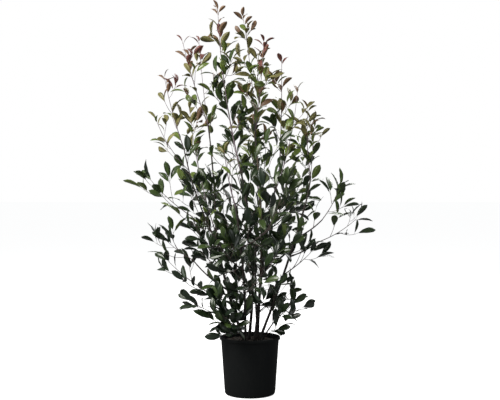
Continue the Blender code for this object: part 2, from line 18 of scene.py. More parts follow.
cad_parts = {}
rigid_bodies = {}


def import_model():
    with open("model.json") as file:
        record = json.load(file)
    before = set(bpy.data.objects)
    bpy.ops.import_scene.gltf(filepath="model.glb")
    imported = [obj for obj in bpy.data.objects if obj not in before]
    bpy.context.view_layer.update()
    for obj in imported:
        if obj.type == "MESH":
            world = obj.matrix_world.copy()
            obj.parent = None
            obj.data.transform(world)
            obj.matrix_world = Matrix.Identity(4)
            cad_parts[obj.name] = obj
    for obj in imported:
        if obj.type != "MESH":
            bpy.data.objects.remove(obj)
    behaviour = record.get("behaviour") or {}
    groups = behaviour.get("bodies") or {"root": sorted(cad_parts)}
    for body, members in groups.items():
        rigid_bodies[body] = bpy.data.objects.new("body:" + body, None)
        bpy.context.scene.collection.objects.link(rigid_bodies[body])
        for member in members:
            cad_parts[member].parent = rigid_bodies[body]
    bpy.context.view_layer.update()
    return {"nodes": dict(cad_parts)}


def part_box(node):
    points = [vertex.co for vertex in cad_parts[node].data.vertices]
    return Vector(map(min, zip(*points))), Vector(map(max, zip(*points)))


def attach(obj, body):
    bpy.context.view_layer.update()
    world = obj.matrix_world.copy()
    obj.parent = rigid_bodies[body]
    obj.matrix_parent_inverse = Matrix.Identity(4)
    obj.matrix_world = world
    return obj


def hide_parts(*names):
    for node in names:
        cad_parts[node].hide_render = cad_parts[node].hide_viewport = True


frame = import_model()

bl_info = {
    "name": "Potted photinia shrub",
    "version": (1, 0, 0),
    "blender": (4, 5, 0),
    "location": "3D View > Sidebar > Photinia",
    "description": "A many-stemmed photinia shrub in a round nursery pot",
    "category": "Add Mesh",
}

BODY = "root"
SEED = "red robin"
UP = Vector((0.0, 0.0, 1.0))
GOLDEN_TURN = math.radians(137.5)

POT_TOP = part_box("pot")[1]
COMPOST_FOOT, COMPOST_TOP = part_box("compost")

# Limbs, as in the solids
UPRIGHT_FOOT = 0.012
FLARE = 0.40
FLARE_HEIGHT = 0.035
BOUGH_SHARE = 0.72
BOUGH_TAPER = 0.62
THINNEST_BOUGH = 0.0024

# Limbs' finer form: the swollen collar of a side bough, the distance between a limb's points
# where twigs grow on it and where it shows, and the resolution of each kind's round section
COLLAR = 0.55
COLLAR_LENGTH = 0.010
GROWTH_STEP = 0.02
BARK_STEP = 0.0035
STEM_RESOLUTION = 7
BOUGH_RESOLUTION = 6
TWIG_RESOLUTION = 1

# Twigs, as in the solids
LEADER_SHARE = 0.62
LEADER_SHARE_AT_TIP = 0.92
SIDE_SHARE = 0.72
SIDE_LIFT = (0.60, 0.95)
FIRST_SIDE = 0.16
LAST_SIDE = 0.84
LOW_SIDE_LENGTH = 1.15
SIDE_SHORTENING = 0.50
SIDE_SPREAD = (0.85, 1.15)
RISE = 0.18
SPACE_BEYOND_TWIGS = 0.085

# Finer twigs
LEADER_STEPS = 22
SIDE_STEPS = 8
SPUR_STEPS = 6
SIDE_UPTURN = 0.20
SPUR_SHARES = (0.30, 0.62)
SPUR_LENGTH = (0.34, 0.56)
SPUR_LIFT = (0.55, 0.95)
SHORTEST_SPUR = 0.022
TWIG_TIP_RADIUS = 0.0010


class Stem(NamedTuple):
    """A stem from the compost: where it stands, the bend halfway up, its upper end and its radii.

    Like every row below, it ends with how full its growth is, and which seeded draw that follows.
    """

    name: str
    foot: tuple
    knee: tuple
    tip: tuple
    foot_radius: float
    tip_radius: float
    fullness: float
    variant: int


class Bough(NamedTuple):
    """A bough: the limb it leaves, at what share of that limb, where it ends and how it bellies."""

    name: str
    parent: str
    at: float
    tip: tuple
    sag: float
    fullness: float
    variant: int


class Mass(NamedTuple):
    """A mass of foliage: its limb, its leader's end, and the number and length of its side twigs."""

    name: str
    parent: str
    at: float
    tip: tuple
    sag: float
    side_twigs: int
    reach: float
    fullness: float = 1.0
    variant: int = 0


class Limb(NamedTuple):
    """The middle line of a grown limb and its radius at each point."""

    path: list
    radii: list


class Leaf(NamedTuple):
    """A leaf: the mass it belongs to, its place, turn and size as one matrix, its tint and shape."""

    mass: str
    frame: Matrix
    tint: int
    shape: int


STEMS = [
    Stem("stem_left", (-0.03, 0.002), (-0.109, 0.0, 0.5), (-0.157, -0.02, 0.765),
         0.0062, 0.0046, 0.7, 2),
    Stem("stem_mid_left", (-0.004, 0.03), (0.01, 0.03, 0.64), (-0.042, 0.0, 1.025),
         0.0066, 0.004, 0.4, 4),
    Stem("stem_centre", (0.022, -0.01), (0.053, 0.01, 0.71), (0.028, 0.02, 1.14),
         0.0058, 0.0038, 0.25, 0),
    Stem("stem_mid_right", (0.037, 0.042), (0.062, 0.072, 0.605), (0.14, 0.09, 1.035),
         0.0057, 0.0037, 0.25, 12),
    Stem("stem_right", (0.045, -0.018), (0.16, -0.03, 0.57), (0.245, -0.02, 0.84),
         0.006, 0.0044, 0.55, 13),
    Stem("stem_front", (-0.021, -0.038), (-0.028, -0.125, 0.54), (-0.062, -0.19, 0.86),
         0.0054, 0.0038, 0.7, 9),
    Stem("stem_back", (0.038, 0.08), (0.026, 0.15, 0.56), (0.046, 0.215, 0.9),
         0.0055, 0.004, 0.55, 7),
    Stem("stem_low_right", (0.062, 0.014), (0.096, 0.012, 0.308), (0.132, 0.0, 0.356),
         0.0036, 0.0026, 1.0, 12),
]

BOUGHS = [
    Bough("bough_left_upper", "stem_left", 1.0, (-0.195, 0.03, 1.245), -0.02, 0.4, 2),
    Bough("bough_left_outer", "stem_left", 0.86, (-0.3, -0.08, 1.13), 0.04, 0.85, 2),
    Bough("bough_left_reach", "stem_left", 0.7, (-0.263, -0.09, 0.822), 0.06, 0.4, 0),
    Bough("bough_left_low", "stem_left", 0.46, (-0.262, -0.045, 0.622), 0.05, 0.4, 4),
    Bough("bough_right_upper", "stem_right", 1.0, (0.282, 0.01, 1.005), 0.03, 0.55, 6),
    Bough("bough_right_reach", "stem_right", 0.8, (0.328, -0.08, 0.806), 0.05, 0.4, 3),
    Bough("bough_right_outer", "stem_right", 0.66, (0.325, 0.06, 0.7), 0.04, 0.25, 2),
    Bough("bough_top", "stem_centre", 1.0, (0.022, 0.03, 1.28), 0.01, 0.7, 8),
    Bough("bough_front_left", "stem_front", 0.55, (-0.15, -0.275, 0.735), 0.06, 0.7, 0),
    Bough("bough_front_right", "stem_front", 0.72, (0.08, -0.285, 0.775), 0.06, 0.7, 9),
    Bough("bough_back_left", "stem_back", 0.6, (-0.105, 0.285, 0.76), 0.06, 0.85, 13),
    Bough("bough_back_right", "stem_back", 0.74, (0.16, 0.3, 0.8), 0.06, 0.7, 3),
]

MASSES = [
    Mass("shoot_top_left", "stem_mid_left", 1.0, (-0.146, -0.07, 1.752), 0.03, 4, 0.11, 0.85, 3),
    Mass("shoot_top_middle", "bough_top", 1.0, (-0.033, 0.1, 1.76), -0.02, 3, 0.08, 0.55, 13),
    Mass("shoot_top_right", "bough_top", 0.5, (0.063, -0.12, 1.6), 0.03, 3, 0.09, 0.7, 8),
    Mass("shoot_left_inner", "bough_left_upper", 0.8, (-0.245, 0.15, 1.65), 0.02, 3, 0.08, 0.25, 9),
    Mass("shoot_left_tall", "bough_left_upper", 1.0, (-0.306, -0.06, 1.61), 0.02, 3, 0.08, 0.25, 3),
    Mass("shoot_left_outer", "bough_left_outer", 1.0, (-0.384, -0.11, 1.44), 0.02, 3, 0.08, 0.25, 3),
    Mass("shoot_left_far", "bough_left_outer", 0.78, (-0.41, -0.2, 1.24), 0.06, 3, 0.08, 0.25, 4),
    Mass("shoot_left_back", "stem_left", 0.93, (-0.3, 0.19, 1.4), 0.05, 3, 0.1, 0.55, 5),
    Mass("shoot_right_tall", "stem_mid_right", 1.0, (0.152, 0.15, 1.56), 0.04, 3, 0.09, 0.4, 0),
    Mass("shoot_right_inner", "stem_mid_right", 0.86, (0.215, -0.08, 1.385), 0.06, 3, 0.09, 0.4, 9),
    Mass("shoot_right_outer", "bough_right_upper", 1.0, (0.268, 0.0, 1.31), 0.04, 3, 0.09, 0.55, 7),
    Mass("shoot_right_far", "bough_right_upper", 0.62, (0.31, 0.17, 1.24), 0.06, 3, 0.1, 0.25, 0),
    Mass("shoot_front", "stem_front", 1.0, (-0.112, -0.23, 1.105), 0.03, 3, 0.1, 0.25, 11),
    Mass("shoot_back", "stem_back", 1.0, (0.02, 0.28, 1.33), 0.04, 3, 0.11, 1.0, 5),
    Mass("spray_left_reach", "bough_left_reach", 1.0, (-0.445, -0.13, 0.985), 0.04, 4, 0.12, 0.25, 11),
    Mass("spray_left_low", "bough_left_low", 1.0, (-0.372, -0.05, 0.7), 0.03, 4, 0.1, 0.25, 8),
    Mass("spray_left_lowest", "stem_left", 0.33, (-0.385, 0.08, 0.605), 0.05, 4, 0.1, 0.25, 2),
    Mass("spray_left_foot", "stem_left", 0.18, (-0.275, -0.08, 0.44), 0.04, 3, 0.09, 0.25, 10),
    Mass("spray_left_middle", "stem_left", 0.6, (-0.225, 0.03, 0.76), 0.05, 4, 0.11, 0.25, 12),
    Mass("spray_right_reach", "bough_right_reach", 1.0, (0.405, -0.095, 0.95), 0.04, 3, 0.08, 0.25, 0),
    Mass("spray_right_outer", "bough_right_outer", 1.0, (0.5, 0.075, 0.805), 0.05, 3, 0.09, 0.25, 0),
    Mass("spray_right_low", "stem_right", 0.52, (0.28, -0.035, 0.655), 0.03, 3, 0.1, 0.25, 12),
    Mass("spray_right_foot", "stem_low_right", 1.0, (0.195, -0.055, 0.418), 0.03, 3, 0.1, 0.25, 9),
    Mass("spray_front_left", "bough_front_left", 1.0, (-0.25, -0.4, 0.92), 0.05, 4, 0.12, 0.25, 3),
    Mass("spray_front_right", "bough_front_right", 1.0, (0.14, -0.405, 0.95), 0.05, 4, 0.12, 0.25, 6),
    Mass("spray_back_left", "bough_back_left", 1.0, (-0.225, 0.4, 0.95), 0.05, 4, 0.13, 0.55, 0),
    Mass("spray_back_right", "bough_back_right", 1.0, (0.26, 0.41, 1.0), 0.05, 4, 0.13, 0.55, 7),
    Mass("spray_front_low", "stem_front", 0.38, (0.06, -0.3, 0.6), 0.05, 4, 0.13, 0.25, 8),
    Mass("spray_back_low", "stem_back", 0.4, (0.01, 0.35, 0.64), 0.05, 4, 0.13, 0.55, 4),
    Mass("spray_middle_low", "stem_centre", 0.36, (0.13, -0.13, 0.7), 0.05, 4, 0.13, 0.4, 7),
    Mass("spray_middle_left", "stem_mid_left", 0.62, (-0.13, -0.09, 0.985), 0.05, 4, 0.13, 0.25, 0),
    Mass("spray_middle_back", "stem_mid_left", 0.8, (-0.09, 0.15, 1.17), 0.05, 4, 0.12, 0.55, 5),
    Mass("spray_middle_front", "stem_centre", 0.72, (0.07, -0.15, 1.13), 0.05, 4, 0.13, 0.25, 11),
    Mass("spray_middle_right", "stem_mid_right", 0.66, (0.2, 0.17, 0.96), 0.05, 4, 0.12, 0.25, 5),
    Mass("spray_low_left", "stem_left", 0.1, (-0.12, -0.15, 0.35), -0.06, 4, 0.1, 0.85, 3),
    Mass("spray_low_centre", "stem_mid_left", 0.42, (-0.08, -0.11, 0.72), 0.05, 4, 0.12, 0.7, 9),
    Mass("spray_low_middle", "stem_mid_left", 0.16, (-0.06, -0.06, 0.52), 0.05, 3, 0.1, 0.85, 11),
    Mass("spray_low_right", "stem_mid_right", 0.16, (0.135, 0.075, 0.48), 0.06, 4, 0.11, 0.25, 3),
]


def bezier(start, control, end, count):
    """Points of a curve from start to end that its control point draws aside."""
    points = []
    for step in range(count + 1):
        share = step / count
        rest = 1.0 - share
        points.append(start * rest**2 + control * (2 * share * rest) + end * share**2)
    return points


def arc(start, end, sag, count):
    """A curve whose middle bellies outward and down by a share of its length."""
    chord = end - start
    belly = Vector((chord.x, chord.y, 0.0)).normalized() - UP
    belly -= chord * (belly.dot(chord) / chord.length_squared)
    control = (start + end) / 2 + belly.normalized() * (2 * sag * chord.length)
    return bezier(start, control, end, count)


def lengths_along(path):
    """How far along the path each of its points lies."""
    lengths = [0.0]
    for first, second in zip(path, path[1:]):
        lengths.append(lengths[-1] + (second - first).length)
    return lengths


def tapered(path, first, last):
    """Radii along a path that thin evenly from first to last."""
    lengths = lengths_along(path)
    return [first + (last - first) * length / lengths[-1] for length in lengths]


def place_on(limb, share):
    """The point, direction and radius of a limb at a share of its length."""
    lengths = lengths_along(limb.path)
    wanted = share * lengths[-1]
    last = len(limb.path) - 2
    step = next((i for i in range(last) if lengths[i + 1] >= wanted), last)
    part = (wanted - lengths[step]) / (lengths[step + 1] - lengths[step])
    point = limb.path[step].lerp(limb.path[step + 1], part)
    direction = (limb.path[step + 1] - limb.path[step]).normalized()
    radius = limb.radii[step] + (limb.radii[step + 1] - limb.radii[step]) * part
    return point, direction, radius


def stem_line(stem, count):
    """A stem's line: upright off its foot, through its knee to its tip, widest at its flare."""
    foot = Vector((*stem.foot, COMPOST_TOP.z))
    collar = foot + UP * UPRIGHT_FOOT
    knee = Vector(stem.knee)
    tip = Vector(stem.tip)
    below = (knee - collar).length
    share = below / (below + (tip - knee).length)
    rest = 1.0 - share
    control = (knee - collar * rest**2 - tip * share**2) / (2 * share * rest)
    path = [foot, *bezier(collar, control, tip, count)]
    radii = []
    for radius, length in zip(tapered(path, stem.foot_radius, stem.tip_radius), lengths_along(path)):
        radii.append(radius * (1.0 + FLARE * math.exp(-length / FLARE_HEIGHT)))
    return Limb(path, radii)


def bough_line(bough, parent, count):
    """A bough's line: on from its parent's tip, or out of its side through a swollen collar."""
    start, direction, radius = place_on(parent, bough.at)
    if bough.at < 1.0:
        radius *= BOUGH_SHARE
    else:
        start = start - direction * radius
    path = arc(start, Vector(bough.tip), bough.sag, count)
    radii = tapered(path, radius, max(radius * BOUGH_TAPER, THINNEST_BOUGH))
    return Limb(path, radii)


def limb_lines(step):
    """The lines of all stems and boughs, by name, with a point at about every step."""
    limbs = {}
    for stem in STEMS:
        count = math.ceil((Vector(stem.tip) - Vector((*stem.foot, 0.0))).length / step)
        limbs[stem.name] = stem_line(stem, count)
    for bough in BOUGHS:
        parent = limbs[bough.parent]
        reach = (Vector(bough.tip) - place_on(parent, bough.at)[0]).length
        limbs[bough.name] = bough_line(bough, parent, math.ceil(reach / step))
    return limbs


def leader_line(mass, limbs):
    """The leader twig of a mass, on from its limb's tip or out of its side."""
    parent = limbs[mass.parent]
    start, direction, radius = place_on(parent, mass.at)
    if mass.at < 1.0:
        radius *= LEADER_SHARE
    else:
        start = start - direction * radius
        radius *= LEADER_SHARE_AT_TIP
    path = arc(start, Vector(mass.tip), mass.sag, LEADER_STEPS)
    return Limb(path, tapered(path, radius, TWIG_TIP_RADIUS))


def off_at(direction, turn, lift):
    """The direction that leaves another at an angle, a turn round it, and rises a little."""
    sideways = Matrix.Rotation(turn, 3, direction) @ direction.orthogonal().normalized()
    away = direction * math.cos(lift) + sideways * math.sin(lift) + UP * RISE
    return away.normalized()


def upturned(start, away, length, count):
    """The line of a small twig that sets off a little low and turns up to its end."""
    end = start + away * length
    control = start + away * (length / 2) - UP * (SIDE_UPTURN * length)
    return bezier(start, control, end, count)


def side_twigs(mass, leader):
    """The side twigs of a leader, shorter towards its tip and each a golden turn on."""
    draw = random.Random(f"{SEED} {mass.name}")
    turn = draw.uniform(0.0, math.tau)
    twigs = []
    for twig in range(mass.side_twigs):
        share = FIRST_SIDE + (LAST_SIDE - FIRST_SIDE) * (twig + 0.5) / mass.side_twigs
        place, direction, radius = place_on(leader, share)
        turn += GOLDEN_TURN
        away = off_at(direction, turn, draw.uniform(*SIDE_LIFT))
        length = mass.reach * (LOW_SIDE_LENGTH - SIDE_SHORTENING * share)
        length *= draw.uniform(*SIDE_SPREAD)
        path = upturned(place, away, length, SIDE_STEPS)
        twigs.append(Limb(path, tapered(path, radius * SIDE_SHARE, TWIG_TIP_RADIUS)))
    return twigs


def spurs(draw, mass, leader, sides, grown):
    """The finest twigs: some on each side twig, and some on the leader between its side twigs. One
    that doesn't grow is left as None."""
    found = []
    turn = draw.uniform(0.0, math.tau)
    hosts = [(twig, share) for twig in sides for share in SPUR_SHARES]
    gaps = mass.side_twigs + 1
    for gap in range(1, gaps):
        hosts.append((leader, FIRST_SIDE + (LAST_SIDE - FIRST_SIDE) * gap / gaps))
    for host, share in hosts:
        turn += GOLDEN_TURN
        place, direction, radius = place_on(host, share)
        away = off_at(direction, turn, draw.uniform(*SPUR_LIFT))
        length = mass.reach * draw.uniform(*SPUR_LENGTH)
        length *= LOW_SIDE_LENGTH - SIDE_SHORTENING * share
        if draw.random() > grown or length < SHORTEST_SPUR:
            found.append(None)
            continue
        path = upturned(place, away, length, SPUR_STEPS)
        found.append(Limb(path, tapered(path, radius * SIDE_SHARE, TWIG_TIP_RADIUS)))
    return found


class Habit(NamedTuple):
    """How a kind of mass carries leaves: their spacing, the whorl at a tip, the bare foot of a twig,
    the angles at which they leave it, the share of spurs that grow, their size, and how strongly
    their faces turn to the sky."""

    spacing: float
    whorl: tuple
    bare: float
    lift: tuple
    spurs: float
    size: float
    sky: float


HABITS = {
    "shoot": Habit(0.024, (3, 4), 0.20, (0.40, 0.85), 0.80, 0.98, 0.5),
    "spray": Habit(0.029, (3, 4), 0.25, (0.50, 1.10), 0.80, 1.02, 0.8),
    "limb": Habit(0.031, (2, 3), 0.30, (0.50, 1.10), 0.00, 0.98, 0.8),
}

# Short leafy twigs straight on the stems and boughs, above a height
LIMB_TWIGS_FROM = 0.47
LOW_LIMB_TWIGS = {
    "stem_low_right": 0.29,
    "stem_mid_right": 0.33,
    "stem_right": 0.36,
    "stem_front": 0.31,
    "stem_centre": 0.31,
    "stem_mid_left": 0.33,
}
LIMB_TWIG_SPACING = 0.042
LIMB_TWIG_LENGTH = (0.030, 0.085)
LIMB_TWIG_LIFT = (0.60, 1.15)
LIMB_TWIG_RADIUS = 0.0016
FIRST_LIMB_TWIG = (0.5, 1.5)

# Low leafy twigs that lean out over the pot's rim
RIM_TWIGS = (
    Mass("limb_rim_left", "stem_left", 0.07, (-0.120, -0.114, 0.284), 0.0, 0, 0.06),
    Mass("limb_rim_front", "stem_left", 0.10, (-0.090, -0.144, 0.298), 0.0, 0, 0.06),
    Mass("limb_rim_right", "stem_low_right", 0.12, (0.172, -0.030, 0.345), 0.0, 0, 0.06),
)

LEAF_SHAPES = 6
YOUNG_SHAPES = 4
LEAF_JITTER = (0.75, 1.25)
TIP_LIFT = (0.10, 0.40)
WHORL_LIFT = (0.42, 0.90)
WHORL_STEP = 0.009
SURE_LEAVES = 2
LEADER_BARE = 0.08
LEAF_SIZES = (0.82, 1.10)
LEAF_ROLL = 0.60
TIP_LEAF_SHARE = 0.70
FULL_LEAF_DEPTH = 0.17
CLEAR_OVER_POT = 0.012
CLEAR_BESIDE_POT = 0.004

TINTS = ("crimson", "bronze", "olive", "lime", "green", "deep", "dark")
YOUNG_TINTS = 3
# Leaves away from the shoots darken lower down: partly older leaves, partly painted shade under the
# crown.
SPRAY_TINTS = ((0.30, 5.7), (0.60, 5.2), (0.85, 4.7), (1.00, 4.2), (1.30, 3.2))
SHOOT_TINTS = ((0.00, 0.5), (0.08, 1.2), (0.18, 2.1), (0.32, 3.1), (0.50, 4.3))
YOUNG_FROM = 1.45
GREENING = 5.5
TINT_PER_LEAF = 0.30
AGEING_FROM = 2
# The tint's spread by twig and by leaf is partly the leaves' own tones and partly painted light and
# shade: bright leaves lit through beside dark ones in shade.
TINT_SPREAD = 0.70
LEAF_TINT_SPREAD = 0.60


def along_table(table, value):
    """The value that a table of pairs gives, between its rows."""
    return float(np.interp(value, [row[0] for row in table], [row[1] for row in table]))


def tint_at(mass, place):
    """The place in the list of tints: by depth under a shoot's tip, and by height elsewhere."""
    if mass.name.startswith("shoot"):
        greener = GREENING * max(YOUNG_FROM - mass.tip[2], 0.0)
        return along_table(SHOOT_TINTS, mass.tip[2] - place.z) + greener
    return along_table(SPRAY_TINTS, place.z)


def leaf_frame(place, direction, turn, lift, sky, roll, length):
    """A leaf's place and turn: it leaves its twig at an angle, its upper face to tip and sky."""
    along = off_at(direction, turn, lift)
    face = (direction - along * direction.dot(along)).normalized()
    face += (UP - along * UP.dot(along)) * sky
    face = Matrix.Rotation(roll, 3, along) @ face.normalized()
    across = along.cross(face)
    axes = Matrix((across, along, face)).transposed().to_4x4()
    return Matrix.Translation(place) @ axes @ Matrix.Scale(length, 4)


def leaf_places(draw, habit, twig, bare):
    """Places of a twig's leaves, from its tip down: a steep leaf in a whorl that splays, then one
    at each golden turn."""
    length = lengths_along(twig.path)[-1]
    turn = draw.uniform(0.0, math.tau)
    for place in range(draw.randint(*habit.whorl)):
        turn += GOLDEN_TURN
        along = length - WHORL_STEP * place
        yield max(along, 0.0) / length, turn, draw.uniform(*(WHORL_LIFT if place else TIP_LIFT))
    along -= habit.spacing * draw.uniform(*LEAF_JITTER)
    while along > bare * length:
        turn += GOLDEN_TURN
        yield along / length, turn, draw.uniform(*habit.lift)
        along -= habit.spacing * draw.uniform(*LEAF_JITTER)


def leaf_length(draw, mass, place, full):
    """A leaf's length: full on old wood, and smaller towards the tip of a shoot."""
    share = 1.0
    if mass.name.startswith("shoot"):
        depth = min(max(mass.tip[2] - place.z, 0.0) / FULL_LEAF_DEPTH, 1.0)
        share = TIP_LEAF_SHARE + (1.0 - TIP_LEAF_SHARE) * depth
    return full * share * draw.uniform(*LEAF_SIZES)


def fits(mass, limb, base, tip):
    """Whether a leaf keeps to its mass's space, which runs along its limb, and off the pot."""
    nearest = min((tip - place).length for place in limb.path)
    if nearest > mass.reach + SPACE_BEYOND_TWIGS:
        return False
    if tip.z > POT_TOP.z + CLEAR_OVER_POT:
        return True
    clear = POT_TOP.x + CLEAR_BESIDE_POT
    return all(math.hypot(place.x, place.y) > clear for place in (base, tip))


def twig_leaves(draw, mass, limb, habit, twig, full):
    """The leaves of one twig. They share a tint that ages from the twig's tip down."""
    bare = LEADER_BARE if twig is limb else habit.bare
    own = draw.gauss(0.0, TINT_SPREAD)
    leaves = []
    for rank, (share, turn, lift) in enumerate(leaf_places(draw, habit, twig, bare)):
        place, direction, _ = place_on(twig, share)
        size = leaf_length(draw, mass, place, full * habit.size)
        placed = leaf_frame(place, direction, turn, lift, habit.sky, draw.gauss(0.0, LEAF_ROLL), size)
        ageing = 0.0 if twig is limb else TINT_PER_LEAF * max(rank - AGEING_FROM, 0)
        tint = tint_at(mass, place) + own + ageing
        # Partly painted light and shade: each leaf's tint is pushed lighter or darker at random.
        tint += draw.uniform(-LEAF_TINT_SPREAD, LEAF_TINT_SPREAD)
        youngest = 0 if mass.name.startswith("shoot") else YOUNG_TINTS
        tint = int(min(max(round(tint), youngest), len(TINTS) - 1))
        young = tint < YOUNG_TINTS or mass.name.startswith("shoot")
        shape = LEAF_SHAPES + draw.randrange(YOUNG_SHAPES) if young else draw.randrange(LEAF_SHAPES)
        grown = draw.random() < mass.fullness or rank < SURE_LEAVES
        if grown and fits(mass, limb, place, placed @ Vector((0.0, 1.0, 0.0))):
            leaves.append(Leaf(mass.name, placed, tint, shape))
    return leaves


class Growth(NamedTuple):
    """Everything that grows out of the limbs: twigs, each with the name it grows under, and leaves."""

    twigs: list
    leaves: list


def grow_mass(mass, limbs, full_leaf, growth):
    """Grow a mass: its leader, side twigs and spurs, and the leaves that keep to its space."""
    habit = HABITS[mass.name.split("_")[0]]
    seed = f"{SEED} {mass.name} {mass.variant}"
    leader = leader_line(mass, limbs)
    sides = side_twigs(mass, leader)
    finest = spurs(random.Random(seed), mass, leader, sides, habit.spurs * mass.fullness)
    for number, twig in enumerate([leader, *sides, *finest]):
        if twig is None:
            continue
        draw = random.Random(f"{seed} {number}")
        growth.twigs.append((mass.name, twig))
        growth.leaves.extend(twig_leaves(draw, mass, leader, habit, twig, full_leaf))


def grow_limb_twigs(row, limb, full_leaf, growth):
    """Grow short leafy twigs straight out of a stem or bough, each a golden turn on."""
    seed = f"{SEED} {row.name} {row.variant}"
    draw = random.Random(seed)
    spray = Mass(f"limb_{row.name}", row.name, 1.0, row.tip, 0.0, 0, LIMB_TWIG_LENGTH[1])
    length = lengths_along(limb.path)[-1]
    along = LIMB_TWIG_SPACING * draw.uniform(*FIRST_LIMB_TWIG)
    turn = draw.uniform(0.0, math.tau)
    while along < length:
        place, direction, radius = place_on(limb, along / length)
        along += LIMB_TWIG_SPACING * draw.uniform(*LEAF_JITTER)
        turn += GOLDEN_TURN
        away = off_at(direction, turn, draw.uniform(*LIMB_TWIG_LIFT))
        reach = radius + draw.uniform(*LIMB_TWIG_LENGTH)
        if draw.random() > row.fullness or place.z < LOW_LIMB_TWIGS.get(row.name, LIMB_TWIGS_FROM):
            continue
        path = upturned(place, away, reach, SPUR_STEPS)
        twig = Limb(path, tapered(path, LIMB_TWIG_RADIUS, TWIG_TIP_RADIUS))
        own = random.Random(f"{seed} {along}")
        growth.twigs.append((spray.name, twig))
        growth.leaves.extend(twig_leaves(own, spray, limb, HABITS["limb"], twig, full_leaf))


def grow_rim_twigs(limbs, full_leaf, growth):
    """Grow the low leafy twigs that lean out over the pot's rim."""
    for mass in RIM_TWIGS:
        draw = random.Random(f"{SEED} {mass.name}")
        path = leader_line(mass, limbs).path
        twig = Limb(path, tapered(path, LIMB_TWIG_RADIUS, TWIG_TIP_RADIUS))
        growth.twigs.append((mass.name, twig))
        growth.leaves.extend(twig_leaves(draw, mass, twig, HABITS["limb"], twig, full_leaf))


def grow(full_leaf):
    """Grow every mass, the short twigs of the stems and boughs, and those at the pot's rim."""
    limbs = limb_lines(GROWTH_STEP)
    growth = Growth([], [])
    for mass in MASSES:
        grow_mass(mass, limbs, full_leaf, growth)
    for row in (*STEMS, *BOUGHS):
        grow_limb_twigs(row, limbs[row.name], full_leaf, growth)
    grow_rim_twigs(limbs, full_leaf, growth)
    return growth


class Value:
    """A socket that takes part in Python expressions, each of which adds its maths nodes."""

    def __init__(self, tree, socket):
        self.tree = tree
        self.socket = socket

    def _maths(self, operation, first, second):
        node = self.tree.nodes.new("ShaderNodeMath")
        node.operation = operation
        for socket, given in zip(node.inputs, (first, second)):
            if isinstance(given, Value):
                self.tree.links.new(given.socket, socket)
            else:
                socket.default_value = given
        return Value(self.tree, node.outputs[0])

    def __add__(self, other):
        return self._maths("ADD", self, other)

    def __radd__(self, other):
        return self._maths("ADD", other, self)

    def __mul__(self, other):
        return self._maths("MULTIPLY", self, other)

    def __pow__(self, other):
        return self._maths("POWER", self, other)


class Shading:
    """A new material's nodes, round its one Principled shader."""

    def __init__(self, name):
        self.material = bpy.data.materials.new(name)
        self.material.use_nodes = True
        self.tree = self.material.node_tree
        self.shader = self.tree.nodes["Principled BSDF"]

    def node(self, kind, settings=None, inputs=None, output=0):
        """Add a node: first its settings, then the values or links of its sockets."""
        node = self.tree.nodes.new(kind)
        for name, given in (settings or {}).items():
            if name == "stops":
                self._stops(node.color_ramp, given)
            else:
                setattr(node, name, given)
        for name, given in (inputs or {}).items():
            self._feed(node.inputs[name], given)
        return Value(self.tree, node.outputs[output])

    def _stops(self, ramp, stops):
        while len(ramp.elements) < len(stops):
            ramp.elements.new(0.5)
        for element, (position, colour) in zip(ramp.elements, stops):
            element.position = position
            element.color = (*colour, 1.0)

    def _feed(self, socket, given):
        if isinstance(given, Value):
            self.tree.links.new(given.socket, socket)
        elif socket.type == "RGBA":
            socket.default_value = (*given, 1.0)
        else:
            socket.default_value = given

    def place(self, scale=(1.0, 1.0, 1.0)):
        """Object coordinates, stretched by a scale."""
        place = self.node("ShaderNodeTexCoord", output="Object")
        return self.node("ShaderNodeMapping", inputs={"Vector": place, "Scale": scale})

    def noise(self, place, scale, detail, roughness=0.55):
        """Soft noise from 0 to 1."""
        inputs = {"Vector": place, "Scale": scale, "Detail": detail, "Roughness": roughness}
        return self.node("ShaderNodeTexNoise", inputs=inputs)

    def ramp(self, factor, *stops):
        """A colour that follows a factor through its stops."""
        return self.node("ShaderNodeValToRGB", {"stops": stops}, {"Fac": factor})

    def mix(self, factor, first, second):
        """A blend of two colours."""
        inputs = {0: factor, 6: first, 7: second}
        return self.node("ShaderNodeMix", {"data_type": "RGBA"}, inputs, output=2)

    def bump(self, height, distance):
        """Let a height stand out of the surface by a distance."""
        inputs = {"Height": height, "Distance": distance, "Strength": 1.0}
        self.surface(Normal=self.node("ShaderNodeBump", inputs=inputs))

    def surface(self, **sockets):
        """Feed the Principled shader's sockets."""
        for name, given in sockets.items():
            self._feed(self.shader.inputs[name.replace("_", " ")], given)


def scaled(colour, share):
    """A colour made lighter or darker by a share."""
    return tuple(min(channel * share, 1.0) for channel in colour)


def blended(first, second, share):
    """A colour between two."""
    return tuple(a + (b - a) * share for a, b in zip(first, second))


def bark_finish(name, wood, fleck, settings):
    """Bark: streaked wood with patches of greyish skin and fine fissures, and painted shade that
    darkens it near its foot.
    """
    shading = Shading(name)
    streaks = shading.noise(shading.place((1.0, 1.0, 0.16)), 190.0, 5.0, 0.65)
    patches = shading.noise(shading.place((1.0, 1.0, 0.5)), 34.0, 3.0)
    base = shading.ramp(streaks, (0.30, scaled(wood, 0.55)), (0.55, wood), (0.78, fleck))
    skin = shading.mix(patches * 0.7, base, blended(wood, fleck, 0.35))
    height = shading.node("ShaderNodeSeparateXYZ", inputs={"Vector": shading.place()}, output="Z")
    # Painted shade: low on the limbs the bark is blended into the dark foot colour, where the stems
    # stand in shade.
    low = shading.node(
        "ShaderNodeMapRange", {"interpolation_type": "SMOOTHSTEP"},
        {"Value": height + patches * 0.1, "From Min": 0.45, "From Max": 0.80},
    )
    skin = shading.mix(low, settings.foot_wood[:], skin)
    shading.surface(Base_Color=skin, Roughness=0.62 + streaks * 0.30)
    shading.bump(streaks, settings.fissure_depth)
    return shading.material


